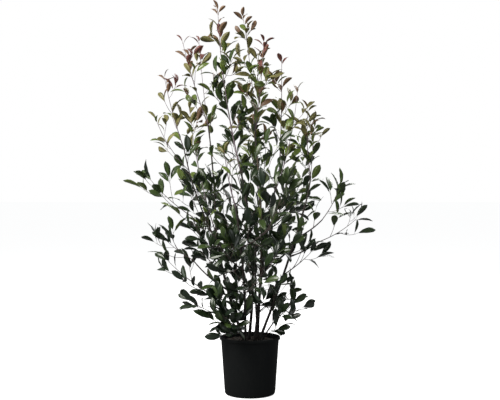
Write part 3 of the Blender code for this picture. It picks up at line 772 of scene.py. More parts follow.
def twig_finish(name, colour):
    """Young wood: a thin skin with soft mottling."""
    shading = Shading(name)
    mottle = shading.noise(shading.place(), 60.0, 4.0)
    tone = shading.ramp(mottle, (0.30, scaled(colour, 0.70)), (0.70, scaled(colour, 1.30)))
    shading.surface(Base_Color=tone, Roughness=0.50 + mottle * 0.20)
    return shading.material


# The roughness and wax of young and of grown leaves, and by how much a tint's tone varies
YOUNG_SHINE = (0.42, 0.10)
GROWN_SHINE = (0.26, 0.35)
TONE_SPREAD = 0.22


def leaf_finish(name, colour, unevenness, shine):
    """A leaf's skin: its tint, a little uneven from leaf to leaf, under a waxy shine."""
    roughness, wax = shine
    shading = Shading(name)
    uneven = shading.noise(shading.place(), unevenness, 2.0)
    low, high = scaled(colour, 1.0 - TONE_SPREAD), scaled(colour, 1.0 + TONE_SPREAD)
    tone = shading.ramp(uneven, (0.32, low), (0.68, high))
    shading.surface(Base_Color=tone, Roughness=roughness + uneven * 0.12)
    shading.surface(Coat_Weight=wax, Coat_Roughness=0.14)
    return shading.material


def finished(body, name):
    """The mesh of a finished body, which is then freed."""
    mesh = bpy.data.meshes.new(name)
    body.to_mesh(mesh)
    body.free()
    return mesh


def added(name, data):
    """A new object in the scene that holds the data."""
    item = bpy.data.objects.new(name, data)
    bpy.context.scene.collection.objects.link(item)
    return item


def new_piece(name, mesh, finish, replaced=()):
    """Add a mesh with its finish as a piece of the plant, in place of the named solids."""
    piece = added(name, mesh)
    mesh.materials.append(finish)
    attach(piece, BODY)
    if replaced:
        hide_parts(*replaced)


def swept(name, limbs, resolution):
    """One mesh of round tapering limbs, each swept along its line."""
    curve = bpy.data.curves.new(name, "CURVE")
    curve.dimensions = "3D"
    curve.use_fill_caps = True
    curve.bevel_depth = 1.0
    curve.bevel_resolution = resolution
    for limb in limbs:
        spline = curve.splines.new("POLY")
        spline.points.add(len(limb.path) - 1)
        for point, place, radius in zip(spline.points, limb.path, limb.radii):
            point.co = (*place, 1.0)
            point.radius = radius
    guide = added(name, curve)
    depsgraph = bpy.context.evaluated_depsgraph_get()
    mesh = bpy.data.meshes.new_from_object(guide.evaluated_get(depsgraph))
    mesh.name = name
    bpy.data.objects.remove(guide)
    bpy.data.curves.remove(curve)
    body = bmesh.new()
    body.from_mesh(mesh)
    bmesh.ops.remove_doubles(body, verts=body.verts, dist=0.000005)
    body.to_mesh(mesh)
    body.free()
    mesh.shade_smooth()
    return mesh


# Points nearer a limb's line than this share of its radius are on its caps, and stay smooth
CAP_SHARE = 0.4
# The relief's fractal noise: its increment, lacunarity and octaves
BARK_NOISE = (0.8, 2.2, 4)


def roughen(mesh, limb, settings):
    """Give a limb's skin its relief: fissures along it, and a swollen ring at each old leaf scar."""
    path = np.array([tuple(point) for point in limb.path])
    lengths = np.array(lengths_along(limb.path))
    radii = np.array(limb.radii)
    for vertex in mesh.vertices:
        place = np.array(vertex.co)
        nearest = int(np.argmin(((path - place) ** 2).sum(1)))
        out = vertex.co - limb.path[nearest]
        if out.length < CAP_SHARE * radii[nearest]:
            continue
        length = float(lengths[nearest])
        ring = (length % settings.scar_spacing) - settings.scar_spacing / 2
        swelling = settings.scar_swelling * math.exp(-((ring / settings.scar_width) ** 2))
        pattern = out * settings.fissures_round + Vector((0.0, 0.0, length * settings.fissures_along))
        relief = settings.relief * noise.fractal(pattern, *BARK_NOISE)
        vertex.co += out * (swelling + relief)


def make_bark(names, lines, resolution, settings, finishes):
    """The named limbs with their bark's relief, each in place of its own solid."""
    for name in names:
        limb = lines[name]
        mesh = swept(f"bark_{name}", [limb], resolution)
        roughen(mesh, limb, settings)
        new_piece(f"bark_{name}", mesh, finishes.get(name, finishes["dark"]), [name])


def number_property(name, description, default):
    """A number that can be changed."""
    return FloatProperty(name=name, description=description, default=default)


def length_property(name, description, default):
    """A length that can be changed."""
    return FloatProperty(name=name, description=description, default=default, unit="LENGTH")


def colour_property(name, description, default):
    """A colour that can be changed."""
    return FloatVectorProperty(name=name, description=description, default=default, subtype="COLOR")


class PotSettings(bpy.types.PropertyGroup):
    """The nursery pot's sizes and plastic."""

    wall: length_property("Wall", "Thickness of the wall", 0.0022)
    lip_depth: length_property("Lip depth", "Height of the rolled lip", 0.013)
    lip_reach: length_property("Lip reach", "How far the lip stands out of the wall", 0.0052)
    foot_radius: length_property("Foot radius", "Outer radius of the wall at the foot", 0.1165)
    foot_round: length_property("Foot round", "Radius of the corner at the foot", 0.010)
    steps: IntProperty(name="Steps", description="Steps round the pot", default=128)
    colour: colour_property("Plastic", "Colour of the plastic", (0.0081, 0.0094, 0.0100))
    roughness: number_property("Roughness", "Roughness of the plastic", 0.42)


class CompostSettings(bpy.types.PropertyGroup):
    """The compost's sizes and colours."""

    unevenness: length_property("Unevenness", "Height of the humps", 0.006)
    crumbs: IntProperty(name="Crumbs", description="Number of loose crumbs", default=520)
    chips: IntProperty(name="Chips", description="Number of bark chips", default=110)
    colour: colour_property("Compost", "Colour of damp compost", (0.020, 0.013, 0.009))
    chip_colour: colour_property("Chips", "Colour of the bark chips", (0.070, 0.045, 0.028))


class BarkSettings(bpy.types.PropertyGroup):
    """The relief and colours of the stems' and boughs' bark."""

    relief: number_property("Relief", "Depth of the relief, as a share of the radius", 0.13)
    fissures_round: number_property("Fissures round", "Fissures per metre round a limb", 420.0)
    fissures_along: number_property("Fissures along", "Fissures per metre along it", 55.0)
    fissure_depth: length_property("Fine fissures", "Depth of the fine fissures", 0.0006)
    scar_spacing: length_property("Scar spacing", "Distance between old leaf scars", 0.041)
    scar_width: length_property("Scar width", "Width of a scar's ring", 0.0030)
    scar_swelling: number_property("Scar swelling", "Height of a ring, as a share", 0.13)
    # Painted shade: the dark colour that the bark takes low down.
    foot_wood: colour_property("Foot", "Colour of the shaded bark low down", (0.017, 0.013, 0.011))
    old_wood: colour_property("Old wood", "Colour of the old bark", (0.026, 0.018, 0.015))
    old_fleck: colour_property("Old flecks", "Colour of its flecks", (0.130, 0.105, 0.098))
    light_wood: colour_property("Light wood", "Colour of the light stem", (0.105, 0.078, 0.054))
    light_fleck: colour_property("Light flecks", "Colour of its flecks", (0.240, 0.200, 0.155))


class TwigSettings(bpy.types.PropertyGroup):
    """The colours of the twigs and buds."""

    young: colour_property("Young twigs", "Colour of the shoots", (0.270, 0.200, 0.235))
    green: colour_property("Older twigs", "Colour of the lower twigs", (0.105, 0.075, 0.070))
    bud: colour_property("Buds", "Colour of the buds", (0.200, 0.060, 0.045))
    bud_length: length_property("Bud length", "Length of a tip bud", 0.008)
    bud_radius: length_property("Bud radius", "Radius of a tip bud", 0.0018)


class LeafSettings(bpy.types.PropertyGroup):
    """The leaves' sizes and tints."""

    length: length_property("Length", "Length of a full leaf", 0.090)
    thickness: number_property("Thickness", "Thickness, as a share of the length", 0.007)
    unevenness: number_property("Unevenness", "Scale of the changes of tone", 11.0)
    crimson: colour_property("Crimson", "The newest leaves", (0.230, 0.085, 0.070))
    bronze: colour_property("Bronze", "Young leaves", (0.232, 0.136, 0.076))
    olive: colour_property("Olive", "Leaves that turn green", (0.222, 0.206, 0.074))
    # Lime is partly a leaf's own young green and partly painted light: it stands in for leaves lit
    # through from behind.
    lime: colour_property("Lime", "The brightest green leaves", (0.158, 0.222, 0.045))
    green: colour_property("Green", "Grown leaves", (0.052, 0.089, 0.021))
    deep: colour_property("Deep green", "Older leaves", (0.0245, 0.047, 0.0145))
    dark: colour_property("Dark green", "The oldest leaves", (0.0135, 0.0265, 0.0125))


class StageSettings(bpy.types.PropertyGroup):
    """The floor, lights and camera."""

    floor: colour_property("Floor", "Colour of the floor", (0.93, 0.93, 0.93))
    floor_thrown: colour_property("Floor light", "Colour of the light it throws up", (0.19, 0.19, 0.19))
    floor_glow: number_property("Floor glow", "Light that the floor gives itself", 0.80)
    sky: number_property("Sky", "Strength of the soft light from all round", 0.20)
    distance: length_property("Camera distance", "From the pot's axis to the camera", 4.0)
    height: length_property("Camera height", "Height of the camera", 0.895)
    view_width: length_property("View width", "Width of the view at the pot's axis", 2.315)


# Leaf: the shares of its length where its rows lie, and the places across its two faces
LEAF_ROWS = (0.0, 0.02, 0.13, 0.23, 0.37, 0.53, 0.69, 0.85, 1.0)
UPPER_COLUMNS = (-1.0, -0.5, -0.1, 0.1, 0.5, 1.0)
UNDER_COLUMNS = (-1.0, 0.0, 1.0)
PETIOLE = 0.13
PETIOLE_WIDTH = 0.016
PETIOLE_THICKNESS = 1.7
RIB_WIDTH = 0.016
RIB_SHARE = 0.3
RECURVE_FROM = 0.05
RECURVE_POWER = 1.25


class LeafForm(NamedTuple):
    """A leaf's form: width, where it is widest, fold, recurve, twist, and ripple between veins."""

    width: float
    widest: float
    fold: float
    recurve: float
    twist: float
    ripple: float


# The spans that the forms' numbers are drawn from
GROWN_FORM = ((0.33, 0.39), (0.55, 0.62), (0.08, 0.30), (0.25, 0.85), (-0.35, 0.35), (0.004, 0.009))
YOUNG_FORM = ((0.31, 0.38), (0.51, 0.58), (0.12, 0.42), (0.50, 1.20), (-0.30, 0.30), (0.002, 0.005))


def leaf_forms():
    """The forms of the grown and then the young leaves, drawn by seed."""
    draw = random.Random(f"{SEED} forms")
    kinds = [GROWN_FORM] * LEAF_SHAPES + [YOUNG_FORM] * YOUNG_SHAPES
    return [LeafForm(*(draw.uniform(*span) for span in spans)) for spans in kinds]


def half_width(form, station):
    """A leaf's half width at a share of its length: a stalk, then a blade with a short point."""
    blade = (station - PETIOLE) / (1.0 - PETIOLE)
    if blade <= 0.0:
        return PETIOLE_WIDTH / 2
    rise = 0.95
    fall = rise * (1.0 - form.widest) / form.widest
    shape = blade**rise * (1.0 - blade) ** fall
    peak = form.widest**rise * (1.0 - form.widest) ** fall
    return max(form.width / 2 * shape / peak, PETIOLE_WIDTH / 2 * (1.0 - blade))


def spine(form):
    """The place and tilt of a leaf's midrib at each row: it bends back towards its tip."""
    place = Vector((0.0, 0.0))
    tilts = [form.recurve * max(row - RECURVE_FROM, 0.0) ** RECURVE_POWER for row in LEAF_ROWS]
    points = [place.copy()]
    for row in range(1, len(LEAF_ROWS)):
        step = LEAF_ROWS[row] - LEAF_ROWS[row - 1]
        tilt = (tilts[row] + tilts[row - 1]) / 2
        place += Vector((math.cos(tilt), -math.sin(tilt))) * step
        points.append(place.copy())
    return points, tilts


def leaf_side(leaf, form, columns, thickness):
    """Add one face of a leaf, on a grid that is drawn out to its outline, fold and bend."""
    rows = len(LEAF_ROWS) - 1
    last = len(columns) - 1
    made = bmesh.ops.create_grid(leaf, x_segments=last, y_segments=rows, size=0.5)["verts"]
    points, tilts = spine(form)
    for corner in made:
        row = round((corner.co.y + 0.5) * rows)
        column = columns[round((corner.co.x + 0.5) * last)]
        station = LEAF_ROWS[row]
        blade = max(station - PETIOLE, 0.0) / (1.0 - PETIOLE)
        half = half_width(form, station) if 0 < row < rows else 0.0
        side = column * half
        if abs(column) == UPPER_COLUMNS[3]:
            side = math.copysign(min(RIB_WIDTH / 2, RIB_SHARE * half), column)
        high = form.fold * abs(side) + form.ripple * (-1) ** row * (blade > 0.0) * abs(column)
        high += thickness * (1.0 - column**2) * (1.0 if blade else PETIOLE_THICKNESS) * (0 < row < rows)
        turn = form.twist * blade
        side, high = (
            side * math.cos(turn) - high * math.sin(turn),
            side * math.sin(turn) + high * math.cos(turn),
        )
        along, tilt = points[row], tilts[row]
        corner.co = (side, along.x + high * math.sin(tilt), along.y + high * math.cos(tilt))


def leaf_mesh(name, form, thickness):
    """A leaf of unit length along +Y, its upper face to +Z: a closed body with a stalk and midrib."""
    leaf = bmesh.new()
    leaf_side(leaf, form, UPPER_COLUMNS, thickness / 2)
    leaf_side(leaf, form, UNDER_COLUMNS, -thickness / 2)
    bmesh.ops.remove_doubles(leaf, verts=leaf.verts, dist=0.0002)
    bmesh.ops.recalc_face_normals(leaf, faces=leaf.faces)
    return finished(leaf, name)


class Shape(NamedTuple):
    """A small mesh as arrays, ready to be copied many times over."""

    corners: np.ndarray
    faces: list


def shape_of(mesh):
    """The arrays of a mesh, which is then removed."""
    corners = np.empty(len(mesh.vertices) * 3)
    mesh.vertices.foreach_get("co", corners)
    faces = [tuple(face.vertices) for face in mesh.polygons]
    bpy.data.meshes.remove(mesh)
    return Shape(corners.reshape(-1, 3), faces)


def joined(name, copies):
    """One smooth mesh of many placed copies of small shapes."""
    corners = []
    faces = []
    count = 0
    for shape, placed in copies:
        turn = np.array(placed.to_3x3())
        corners.append(shape.corners @ turn.T + np.array(placed.translation))
        faces += [tuple(corner + count for corner in face) for face in shape.faces]
        count += len(shape.corners)
    mesh = bpy.data.meshes.new(name)
    mesh.from_pydata(np.concatenate(corners).tolist(), [], faces)
    mesh.shade_smooth()
    return mesh


def turned(profile, steps):
    """A body turned about Z from (radius, height) points that run from axis to axis."""
    body = bmesh.new()
    points = [body.verts.new((radius, 0.0, height)) for radius, height in profile]
    edges = [body.edges.new(pair) for pair in zip(points, points[1:])]
    bmesh.ops.spin(
        body, geom=points + edges, cent=(0.0, 0.0, 0.0), axis=(0.0, 0.0, 1.0),
        angle=math.tau, steps=steps, use_merge=True,
    )
    bmesh.ops.remove_doubles(body, verts=body.verts, dist=0.00001)
    bmesh.ops.recalc_face_normals(body, faces=body.faces)
    return body


def rounded(corner, radius, start, end, count):
    """Points of a round corner about its centre, from one angle to another."""
    points = []
    for step in range(count + 1):
        angle = math.radians(start + (end - start) * step / count)
        points.append((corner[0] + radius * math.cos(angle), corner[1] + radius * math.sin(angle)))
    return points


# The pot's floor, the round of its inside corner, its lip's bead as a share of the lip's depth,
# the rounds of the lip's lower edge, and how far the underside is hollowed
POT_FLOOR = 0.003
INNER_ROUND = 0.008
BEAD_SHARE = 0.22
LIP_ROUND = 0.0012
HOLLOW = 0.0012


def pot_profile(pot):
    """The pot's outline: up the inside, over the rolled lip, down the outside to the foot."""
    top = POT_TOP.z
    outer = POT_TOP.x
    lip_foot = top - pot.lip_depth
    wall_top = outer - pot.lip_reach
    slope = (wall_top - pot.foot_radius) / top
    bead = pot.lip_depth * BEAD_SHARE
    foot = pot.foot_radius - pot.foot_round
    profile = [(0.0, POT_FLOOR), (0.060, POT_FLOOR), (foot, POT_FLOOR)]
    profile += rounded((foot - pot.wall, POT_FLOOR + INNER_ROUND), INNER_ROUND, -70, 0, 4)
    for share in (0.2, 0.4, 0.6, 0.8, 0.95):
        profile.append((pot.foot_radius + slope * top * share - pot.wall, top * share))
    profile.append((wall_top - pot.wall, top - bead))
    profile += rounded((wall_top - pot.wall + bead, top - bead), bead, 160, 90, 4)
    profile += rounded((outer - bead, top - bead), bead, 90, 0, 5)
    profile.append((outer, lip_foot + LIP_ROUND))
    profile += rounded((outer - LIP_ROUND, lip_foot + LIP_ROUND), LIP_ROUND, 0, -90, 3)
    profile.append((wall_top + 0.0010, lip_foot))
    profile += rounded((wall_top + 0.0004, lip_foot - 0.0014), LIP_ROUND, 90, 180, 3)
    for share in (0.80, 0.60, 0.40, 0.20):
        profile.append((pot.foot_radius + slope * top * share, top * share))
    ring = 0.020
    profile.append((pot.foot_radius + slope * ring, ring))
    profile += rounded((foot, pot.foot_round), pot.foot_round, 0, -90, 7)
    profile += [(0.100, 0.0), (0.097, HOLLOW), (0.030, HOLLOW), (0.0, HOLLOW)]
    return profile


def make_pot(pot):
    """The pot with its rolled lip and hollowed underside, in satin black plastic. Only its solid
    has drain holes."""
    body = turned(pot_profile(pot), pot.steps)
    mesh = finished(body, "nursery_pot")
    mesh.shade_smooth()
    mesh.set_sharp_from_angle(angle=math.radians(50))
    shading = Shading("pot_plastic")
    clouds = shading.noise(shading.place(), 16.0, 4.0)
    scuffs = shading.noise(shading.place((1.0, 1.0, 0.25)), 120.0, 5.0, 0.7)
    grain = shading.noise(shading.place(), 900.0, 2.0)
    dusty = shading.mix((scuffs ** 3.0) * 0.5, pot.colour[:], (0.026, 0.024, 0.022))
    shading.surface(Base_Color=dusty, Roughness=pot.roughness + clouds * 0.10 + scuffs * 0.10)
    shading.surface(Specular_IOR_Level=0.08)
    shading.bump(grain * 0.5 + clouds, 0.0003)
    new_piece("nursery_pot", mesh, shading.material, ["pot"])


# The compost: the rings and steps of its top, its radius at its foot, and its fibres' colour
COMPOST_RINGS = 26
COMPOST_STEPS = 120
COMPOST_FOOT_RADIUS = 0.105
FIBRES = (0.120, 0.080, 0.048)

# Its humps: their scale, the slice of noise they follow, its increment, lacunarity and octaves,
# their mean and spread as shares of the unevenness, the width over which they fade out at the
# edge, and how far the whole top is sunk
HUMP_SCALE = 26.0
HUMP_SLICE = 3.7
HUMP_NOISE = (0.9, 2.0, 4)
HUMP_MEAN = 0.35
HUMP_SPREAD = 0.9
HUMP_EDGE = 0.02
SUNK = 0.001

# Its lumps: the sizes and proportions of crumbs and of chips, how much paler a chip's flecks are,
# how uneven all lumps are, how many kinds there are, how far they keep from the edge, by what
# share of their size they are raised, and the most that they tilt
CRUMB_SIZES = (0.0014, 0.0042)
CRUMB_FORM = (1.0, 0.8, 0.7)
CHIP_SIZES = (0.004, 0.010)
CHIP_FORM = (1.0, 0.42, 0.22)
CHIP_FLECKS = 2.2
LUMP_JITTER = (0.72, 1.18)
LUMP_KINDS = 5
LUMP_MARGIN = 0.008
LUMP_RISE = 0.15
LUMP_TILT = 0.5


def compost_finish(name, colour, light):
    """Crumbly organic matter: dark and damp, with paler fibres."""
    shading = Shading(name)
    grains = shading.noise(shading.place(), 420.0, 6.0, 0.75)
    damp = shading.noise(shading.place(), 28.0, 3.0)
    tone = shading.ramp(grains, (0.32, scaled(colour, 0.45)), (0.52, colour), (0.72, light))
    tone = shading.mix(damp * 0.5, tone, scaled(colour, 0.7))
    shading.surface(Base_Color=tone, Roughness=0.85 + damp * 0.12)
    shading.bump(grains, 0.0018)
    return shading.material


def lump(name, form, seed):
    """An irregular lump of unit size."""
    body = bmesh.new()
    bmesh.ops.create_icosphere(body, subdivisions=1, radius=1.0)
    draw = random.Random(f"{SEED} {name} {seed}")
    for corner in body.verts:
        corner.co = [side * share for side, share in zip(corner.co, form)]
        corner.co *= draw.uniform(*LUMP_JITTER)
    return finished(body, name)


def hump(place, settings):
    """The height of the compost's surface above its level at a place."""
    radius = math.hypot(place[0], place[1])
    edge = min((COMPOST_TOP.x - radius) / HUMP_EDGE, 1.0)
    pattern = Vector((place[0] * HUMP_SCALE, place[1] * HUMP_SCALE, HUMP_SLICE))
    rough = noise.fractal(pattern, *HUMP_NOISE)
    return settings.unevenness * (HUMP_MEAN + HUMP_SPREAD * rough) * max(edge, 0.0) - SUNK


def scatter(name, count, sizes, form, settings, seed):
    """Lumps strewn over the compost, half sunk in it."""
    shapes = [shape_of(lump(f"{name}_{kind}", form, kind)) for kind in range(LUMP_KINDS)]
    draw = random.Random(f"{SEED} {seed}")
    copies = []
    for _ in range(count):
        angle = draw.uniform(0.0, math.tau)
        radius = (COMPOST_TOP.x - LUMP_MARGIN) * math.sqrt(draw.random())
        size = draw.uniform(*sizes)
        place = Vector((radius * math.cos(angle), radius * math.sin(angle), 0.0))
        place.z = COMPOST_TOP.z + hump(place, settings) + size * LUMP_RISE
        turn = Matrix.Rotation(draw.uniform(0.0, math.tau), 4, "Z")
        turn = turn @ Matrix.Rotation(draw.uniform(-LUMP_TILT, LUMP_TILT), 4, "X")
        copies.append((draw.choice(shapes), Matrix.Translation(place) @ turn @ Matrix.Scale(size, 4)))
    return joined(name, copies)


def make_compost(settings):
    """The compost: a filled body with a humped top, loose crumbs and chips of bark."""
    top = COMPOST_TOP.z
    low = COMPOST_FOOT.z
    profile = [(COMPOST_TOP.x * ring / COMPOST_RINGS, top) for ring in range(COMPOST_RINGS + 1)]
    profile += [(COMPOST_TOP.x - 0.0005, top - 0.004), (COMPOST_FOOT_RADIUS, low), (0.0, low)]
    body = turned(profile, COMPOST_STEPS)
    for corner in body.verts:
        if corner.co.z > top - 0.001:
            corner.co.z += hump(corner.co, settings)
    mesh = finished(body, "compost_fill")
    mesh.shade_smooth()
    finish = compost_finish("damp_compost", settings.colour[:], FIBRES)
    new_piece("compost_fill", mesh, finish, ["compost"])
    crumbs = scatter("compost_crumbs", settings.crumbs, CRUMB_SIZES, CRUMB_FORM, settings, "crumbs")
    new_piece("compost_crumbs", crumbs, finish)
    chips = scatter("bark_chips", settings.chips, CHIP_SIZES, CHIP_FORM, settings, "chips")
    colour = settings.chip_colour[:]
    finish = compost_finish("chipped_bark", colour, scaled(colour, CHIP_FLECKS))
    new_piece("bark_chips", chips, finish)


class PHOTINIA_OT_pot(bpy.types.Operator):
    """Make the nursery pot"""

    bl_idname = "photinia.pot"
    bl_label = "Pot"

    def execute(self, context):
        make_pot(context.scene.photinia_pot)
        return {"FINISHED"}


class PHOTINIA_OT_compost(bpy.types.Operator):
    """Fill the pot with compost, crumbs and bark chips"""

    bl_idname = "photinia.compost"
    bl_label = "Compost"

    def execute(self, context):
        make_compost(context.scene.photinia_compost)
        return {"FINISHED"}


class PHOTINIA_OT_stems(bpy.types.Operator):
    """Make the stems with their bark"""

    bl_idname = "photinia.stems"
    bl_label = "Stems"

    def execute(self, context):
        bark = context.scene.photinia_bark
        finishes = {
            "dark": bark_finish("old_bark", bark.old_wood[:], bark.old_fleck[:], bark),
            "stem_centre": bark_finish("light_bark", bark.light_wood[:], bark.light_fleck[:], bark),
        }
        make_bark([stem.name for stem in STEMS], limb_lines(BARK_STEP), STEM_RESOLUTION, bark, finishes)
        return {"FINISHED"}


# A bough's bark: how far its wood leans to the old bark's flecks, and how much paler its own are
BOUGH_PALENESS = 0.25
BOUGH_FLECKS = 1.3


class PHOTINIA_OT_boughs(bpy.types.Operator):
    """Make the boughs with their bark, those off a stem's side out of a collar on it"""

    bl_idname = "photinia.boughs"
    bl_label = "Boughs"

    def execute(self, context):
        bark = context.scene.photinia_bark
        wood = blended(bark.old_wood[:], bark.old_fleck[:], BOUGH_PALENESS)
        fleck = scaled(bark.old_fleck[:], BOUGH_FLECKS)
        finishes = {"dark": bark_finish("bough_bark", wood, fleck, bark)}
        lines = limb_lines(BARK_STEP)
        for bough in BOUGHS:
            if bough.at < 1.0:
                limb = lines[bough.name]
                radii = []
                for radius, length in zip(limb.radii, lengths_along(limb.path)):
                    swell = math.exp(-max(length - limb.radii[0], 0.0) / COLLAR_LENGTH)
                    radii.append(radius * (1.0 + COLLAR * swell))
                lines[bough.name] = Limb(limb.path, radii)
        make_bark([bough.name for bough in BOUGHS], lines, BOUGH_RESOLUTION, bark, finishes)
        return {"FINISHED"}


def bud_shape():
    """A pointed bud of unit size along +Z, its foot a little sunk."""
    body = bmesh.new()
    bmesh.ops.create_cone(body, cap_ends=True, segments=6, radius1=1.0, radius2=0.05, depth=1.0)
    bmesh.ops.translate(body, verts=body.verts, vec=(0.0, 0.0, 0.4))
    return shape_of(finished(body, "bud"))


class PHOTINIA_OT_twigs(bpy.types.Operator):
    """Make the leaders, side twigs and spurs of every mass, and the buds at the tips of the shoots"""

    bl_idname = "photinia.twigs"
    bl_label = "Twigs"

    def execute(self, context):
        settings = context.scene.photinia_twigs
        growth = grow(context.scene.photinia_leaves.length)
        colours = {"shoot": settings.young, "spray": settings.green, "limb": settings.green}
        for kind, colour in colours.items():
            twigs = [twig for name, twig in growth.twigs if name.startswith(kind)]
            masses = [mass.name for mass in MASSES if mass.name.startswith(kind)]
            finish = twig_finish(f"{kind}_wood", colour[:])
            mesh = swept(f"{kind}_twigs", twigs, TWIG_RESOLUTION)
            new_piece(f"{kind}_twigs", mesh, finish, masses)
        bud = bud_shape()
        copies = []
        size = Matrix.Diagonal((settings.bud_radius, settings.bud_radius, settings.bud_length, 1.0))
        for name, twig in growth.twigs:
            if not name.startswith("shoot"):
                continue
            away = (twig.path[-1] - twig.path[-2]).normalized()
            turn = away.to_track_quat("Z", "X").to_matrix().to_4x4()
            copies.append((bud, Matrix.Translation(twig.path[-1]) @ turn @ size))
        finish = twig_finish("bud_skin", settings.bud[:])
        new_piece("tip_buds", joined("tip_buds", copies), finish)
        return {"FINISHED"}


class PHOTINIA_OT_leaves(bpy.types.Operator):
    """Make the leaves, one piece for each tint"""

    bl_idname = "photinia.leaves"
    bl_label = "Leaves"

    def execute(self, context):
        settings = context.scene.photinia_leaves
        growth = grow(settings.length)
        shapes = []
        for number, form in enumerate(leaf_forms()):
            shapes.append(shape_of(leaf_mesh(f"leaf_{number}", form, settings.thickness)))
        for number, tint in enumerate(TINTS):
            leaves = [leaf for leaf in growth.leaves if leaf.tint == number]
            if not leaves:
                continue
            colour = tuple(getattr(settings, tint))
            young = number < YOUNG_TINTS
            shine = YOUNG_SHINE if young else GROWN_SHINE
            finish = leaf_finish(f"{tint}_leaf", colour, settings.unevenness, shine)
            mesh = joined(f"{tint}_leaves", [(shapes[leaf.shape], leaf.frame) for leaf in leaves])
            masses = [mass.name for mass in MASSES if any(leaf.mass == mass.name for leaf in leaves)]
            new_piece(f"{tint}_leaves", mesh, finish, masses)
        return {"FINISHED"}


WHITE = (1.0, 1.0, 1.0)
SKY_COLOUR = (0.97, 0.99, 1.0)
FLOOR_REACH = 400.0
FLOOR_LEVEL = -0.0005

# Each softbox: its place, what it is turned to, its size, power and colour
SOFTBOXES = (
    ("key_light", (-2.6, -2.2, 3.6), (0.0, 0.0, 1.0), (2.4, 2.4), 205.0, (1.0, 0.98, 0.92)),
    ("side_light", (-3.2, -0.8, 0.9), (0.0, 0.0, 0.5), (0.9, 1.8), 16.0, (0.95, 0.98, 1.0)),
    ("back_light", (1.6, 2.8, 3.4), (0.0, 0.0, 1.0), (2.6, 1.8), 110.0, WHITE),
    ("fill_light", (3.0, -2.6, 1.6), (0.0, 0.0, 1.0), (2.0, 2.6), 25.0, (0.94, 0.97, 1.0)),
)


def make_softbox(name, place, target, size, power, colour):
    """A large soft light at a place, turned to a target."""
    light = bpy.data.lights.new(name, "AREA")
    light.shape = "RECTANGLE"
    light.size = size[0]
    light.size_y = size[1]
    light.energy = power
    light.color = colour
    lamp = added(name, light)
    lamp.location = place
    lamp.rotation_euler = (Vector(target) - Vector(place)).to_track_quat("-Z", "Y").to_euler()


def seen_apart(tree, seen, thrown, output):
    """Show one shader to the camera, and light everything else by another."""
    rays = tree.nodes.new("ShaderNodeLightPath")
    mixed = tree.nodes.new("ShaderNodeMixShader")
    tree.links.new(rays.outputs["Is Camera Ray"], mixed.inputs[0])
    tree.links.new(thrown, mixed.inputs[1])
    tree.links.new(seen, mixed.inputs[2])
    tree.links.new(mixed.outputs[0], output.inputs["Surface"])


def make_floor(settings):
    """A plain pale floor, as white as the backdrop, that throws less light up than it shows."""
    body = bmesh.new()
    bmesh.ops.create_grid(body, x_segments=1, y_segments=1, size=FLOOR_REACH)
    bmesh.ops.translate(body, verts=body.verts, vec=(0.0, 0.0, FLOOR_LEVEL))
    mesh = finished(body, "floor")
    shading = Shading("studio_floor")
    shading.surface(Base_Color=settings.floor[:], Roughness=0.9, Emission_Color=WHITE)
    shading.surface(Emission_Strength=settings.floor_glow, Specular_IOR_Level=0.0)
    thrown = shading.node("ShaderNodeBsdfDiffuse", inputs={"Color": settings.floor_thrown[:]})
    output = shading.tree.nodes["Material Output"]
    seen_apart(shading.tree, shading.shader.outputs[0], thrown.socket, output)
    mesh.materials.append(shading.material)
    floor = added("floor", mesh)


def make_backdrop(settings):
    """A white backdrop all round, and the dimmer soft light that reaches the plant instead."""
    world = bpy.data.worlds.new("studio")
    world.use_nodes = True
    bpy.context.scene.world = world
    nodes = world.node_tree.nodes
    nodes.clear()
    shown = []
    for colour, strength in ((WHITE, 1.0), (SKY_COLOUR, settings.sky)):
        light = nodes.new("ShaderNodeBackground")
        light.inputs["Color"].default_value = (*colour, 1.0)
        light.inputs["Strength"].default_value = strength
        shown.append(light.outputs[0])
    seen_apart(world.node_tree, *shown, nodes.new("ShaderNodeOutputWorld"))


def make_camera(settings):
    """A level camera before the plant, as far off and as high as the photograph's."""
    data = bpy.data.cameras.new("camera")
    data.sensor_width = 36.0
    data.lens = data.sensor_width * settings.distance / settings.view_width
    camera = added("camera", data)
    camera.location = (0.0, -settings.distance, settings.height)
    camera.rotation_euler = (math.radians(90.0), 0.0, 0.0)
    bpy.context.scene.camera = camera


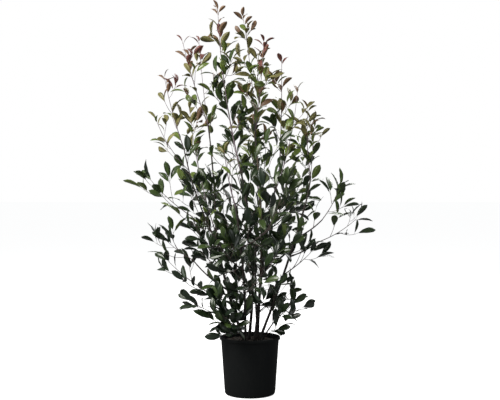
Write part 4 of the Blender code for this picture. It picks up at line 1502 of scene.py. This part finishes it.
class PHOTINIA_OT_stage(bpy.types.Operator):
    """Set up the floor, backdrop, lights and camera"""

    bl_idname = "photinia.stage"
    bl_label = "Stage"

    def execute(self, context):
        settings = context.scene.photinia_stage
        make_floor(settings)
        make_backdrop(settings)
        for softbox in SOFTBOXES:
            make_softbox(*softbox)
        make_camera(settings)
        context.scene.view_settings.view_transform = "Standard"
        return {"FINISHED"}


class PHOTINIA_PT_panel(bpy.types.Panel):
    """The shrub's pieces and their sizes and colours"""

    bl_idname = "PHOTINIA_PT_panel"
    bl_label = "Photinia"
    bl_space_type = "VIEW_3D"
    bl_region_type = "UI"
    bl_category = "Photinia"

    def draw(self, context):
        for operator, settings in PIECES:
            box = self.layout.box()
            box.operator(operator.bl_idname)
            group = getattr(context.scene, settings)
            for name in group.bl_rna.properties.keys():
                if name not in ("rna_type", "name"):
                    box.prop(group, name)


PIECES = (
    (PHOTINIA_OT_pot, "photinia_pot"),
    (PHOTINIA_OT_compost, "photinia_compost"),
    (PHOTINIA_OT_stems, "photinia_bark"),
    (PHOTINIA_OT_boughs, "photinia_bark"),
    (PHOTINIA_OT_twigs, "photinia_twigs"),
    (PHOTINIA_OT_leaves, "photinia_leaves"),
    (PHOTINIA_OT_stage, "photinia_stage"),
)
GROUPS = {
    "photinia_pot": PotSettings,
    "photinia_compost": CompostSettings,
    "photinia_bark": BarkSettings,
    "photinia_twigs": TwigSettings,
    "photinia_leaves": LeafSettings,
    "photinia_stage": StageSettings,
}


def register():
    """Register the settings, operators and panel."""
    for name, group in GROUPS.items():
        bpy.utils.register_class(group)
        setattr(bpy.types.Scene, name, PointerProperty(type=group))
    for operator, _ in PIECES:
        bpy.utils.register_class(operator)
    bpy.utils.register_class(PHOTINIA_PT_panel)


def unregister():
    """Take the panel, operators and settings away."""
    bpy.utils.unregister_class(PHOTINIA_PT_panel)
    for operator, _ in reversed(PIECES):
        bpy.utils.unregister_class(operator)
    for name, group in reversed(GROUPS.items()):
        delattr(bpy.types.Scene, name)
        bpy.utils.unregister_class(group)


def main():
    """Make every piece and the stage."""
    register()
    bpy.ops.photinia.pot()
    bpy.ops.photinia.compost()
    bpy.ops.photinia.stems()
    bpy.ops.photinia.boughs()
    bpy.ops.photinia.twigs()
    bpy.ops.photinia.leaves()
    bpy.ops.photinia.stage()


if __name__ == "__main__":
    main()
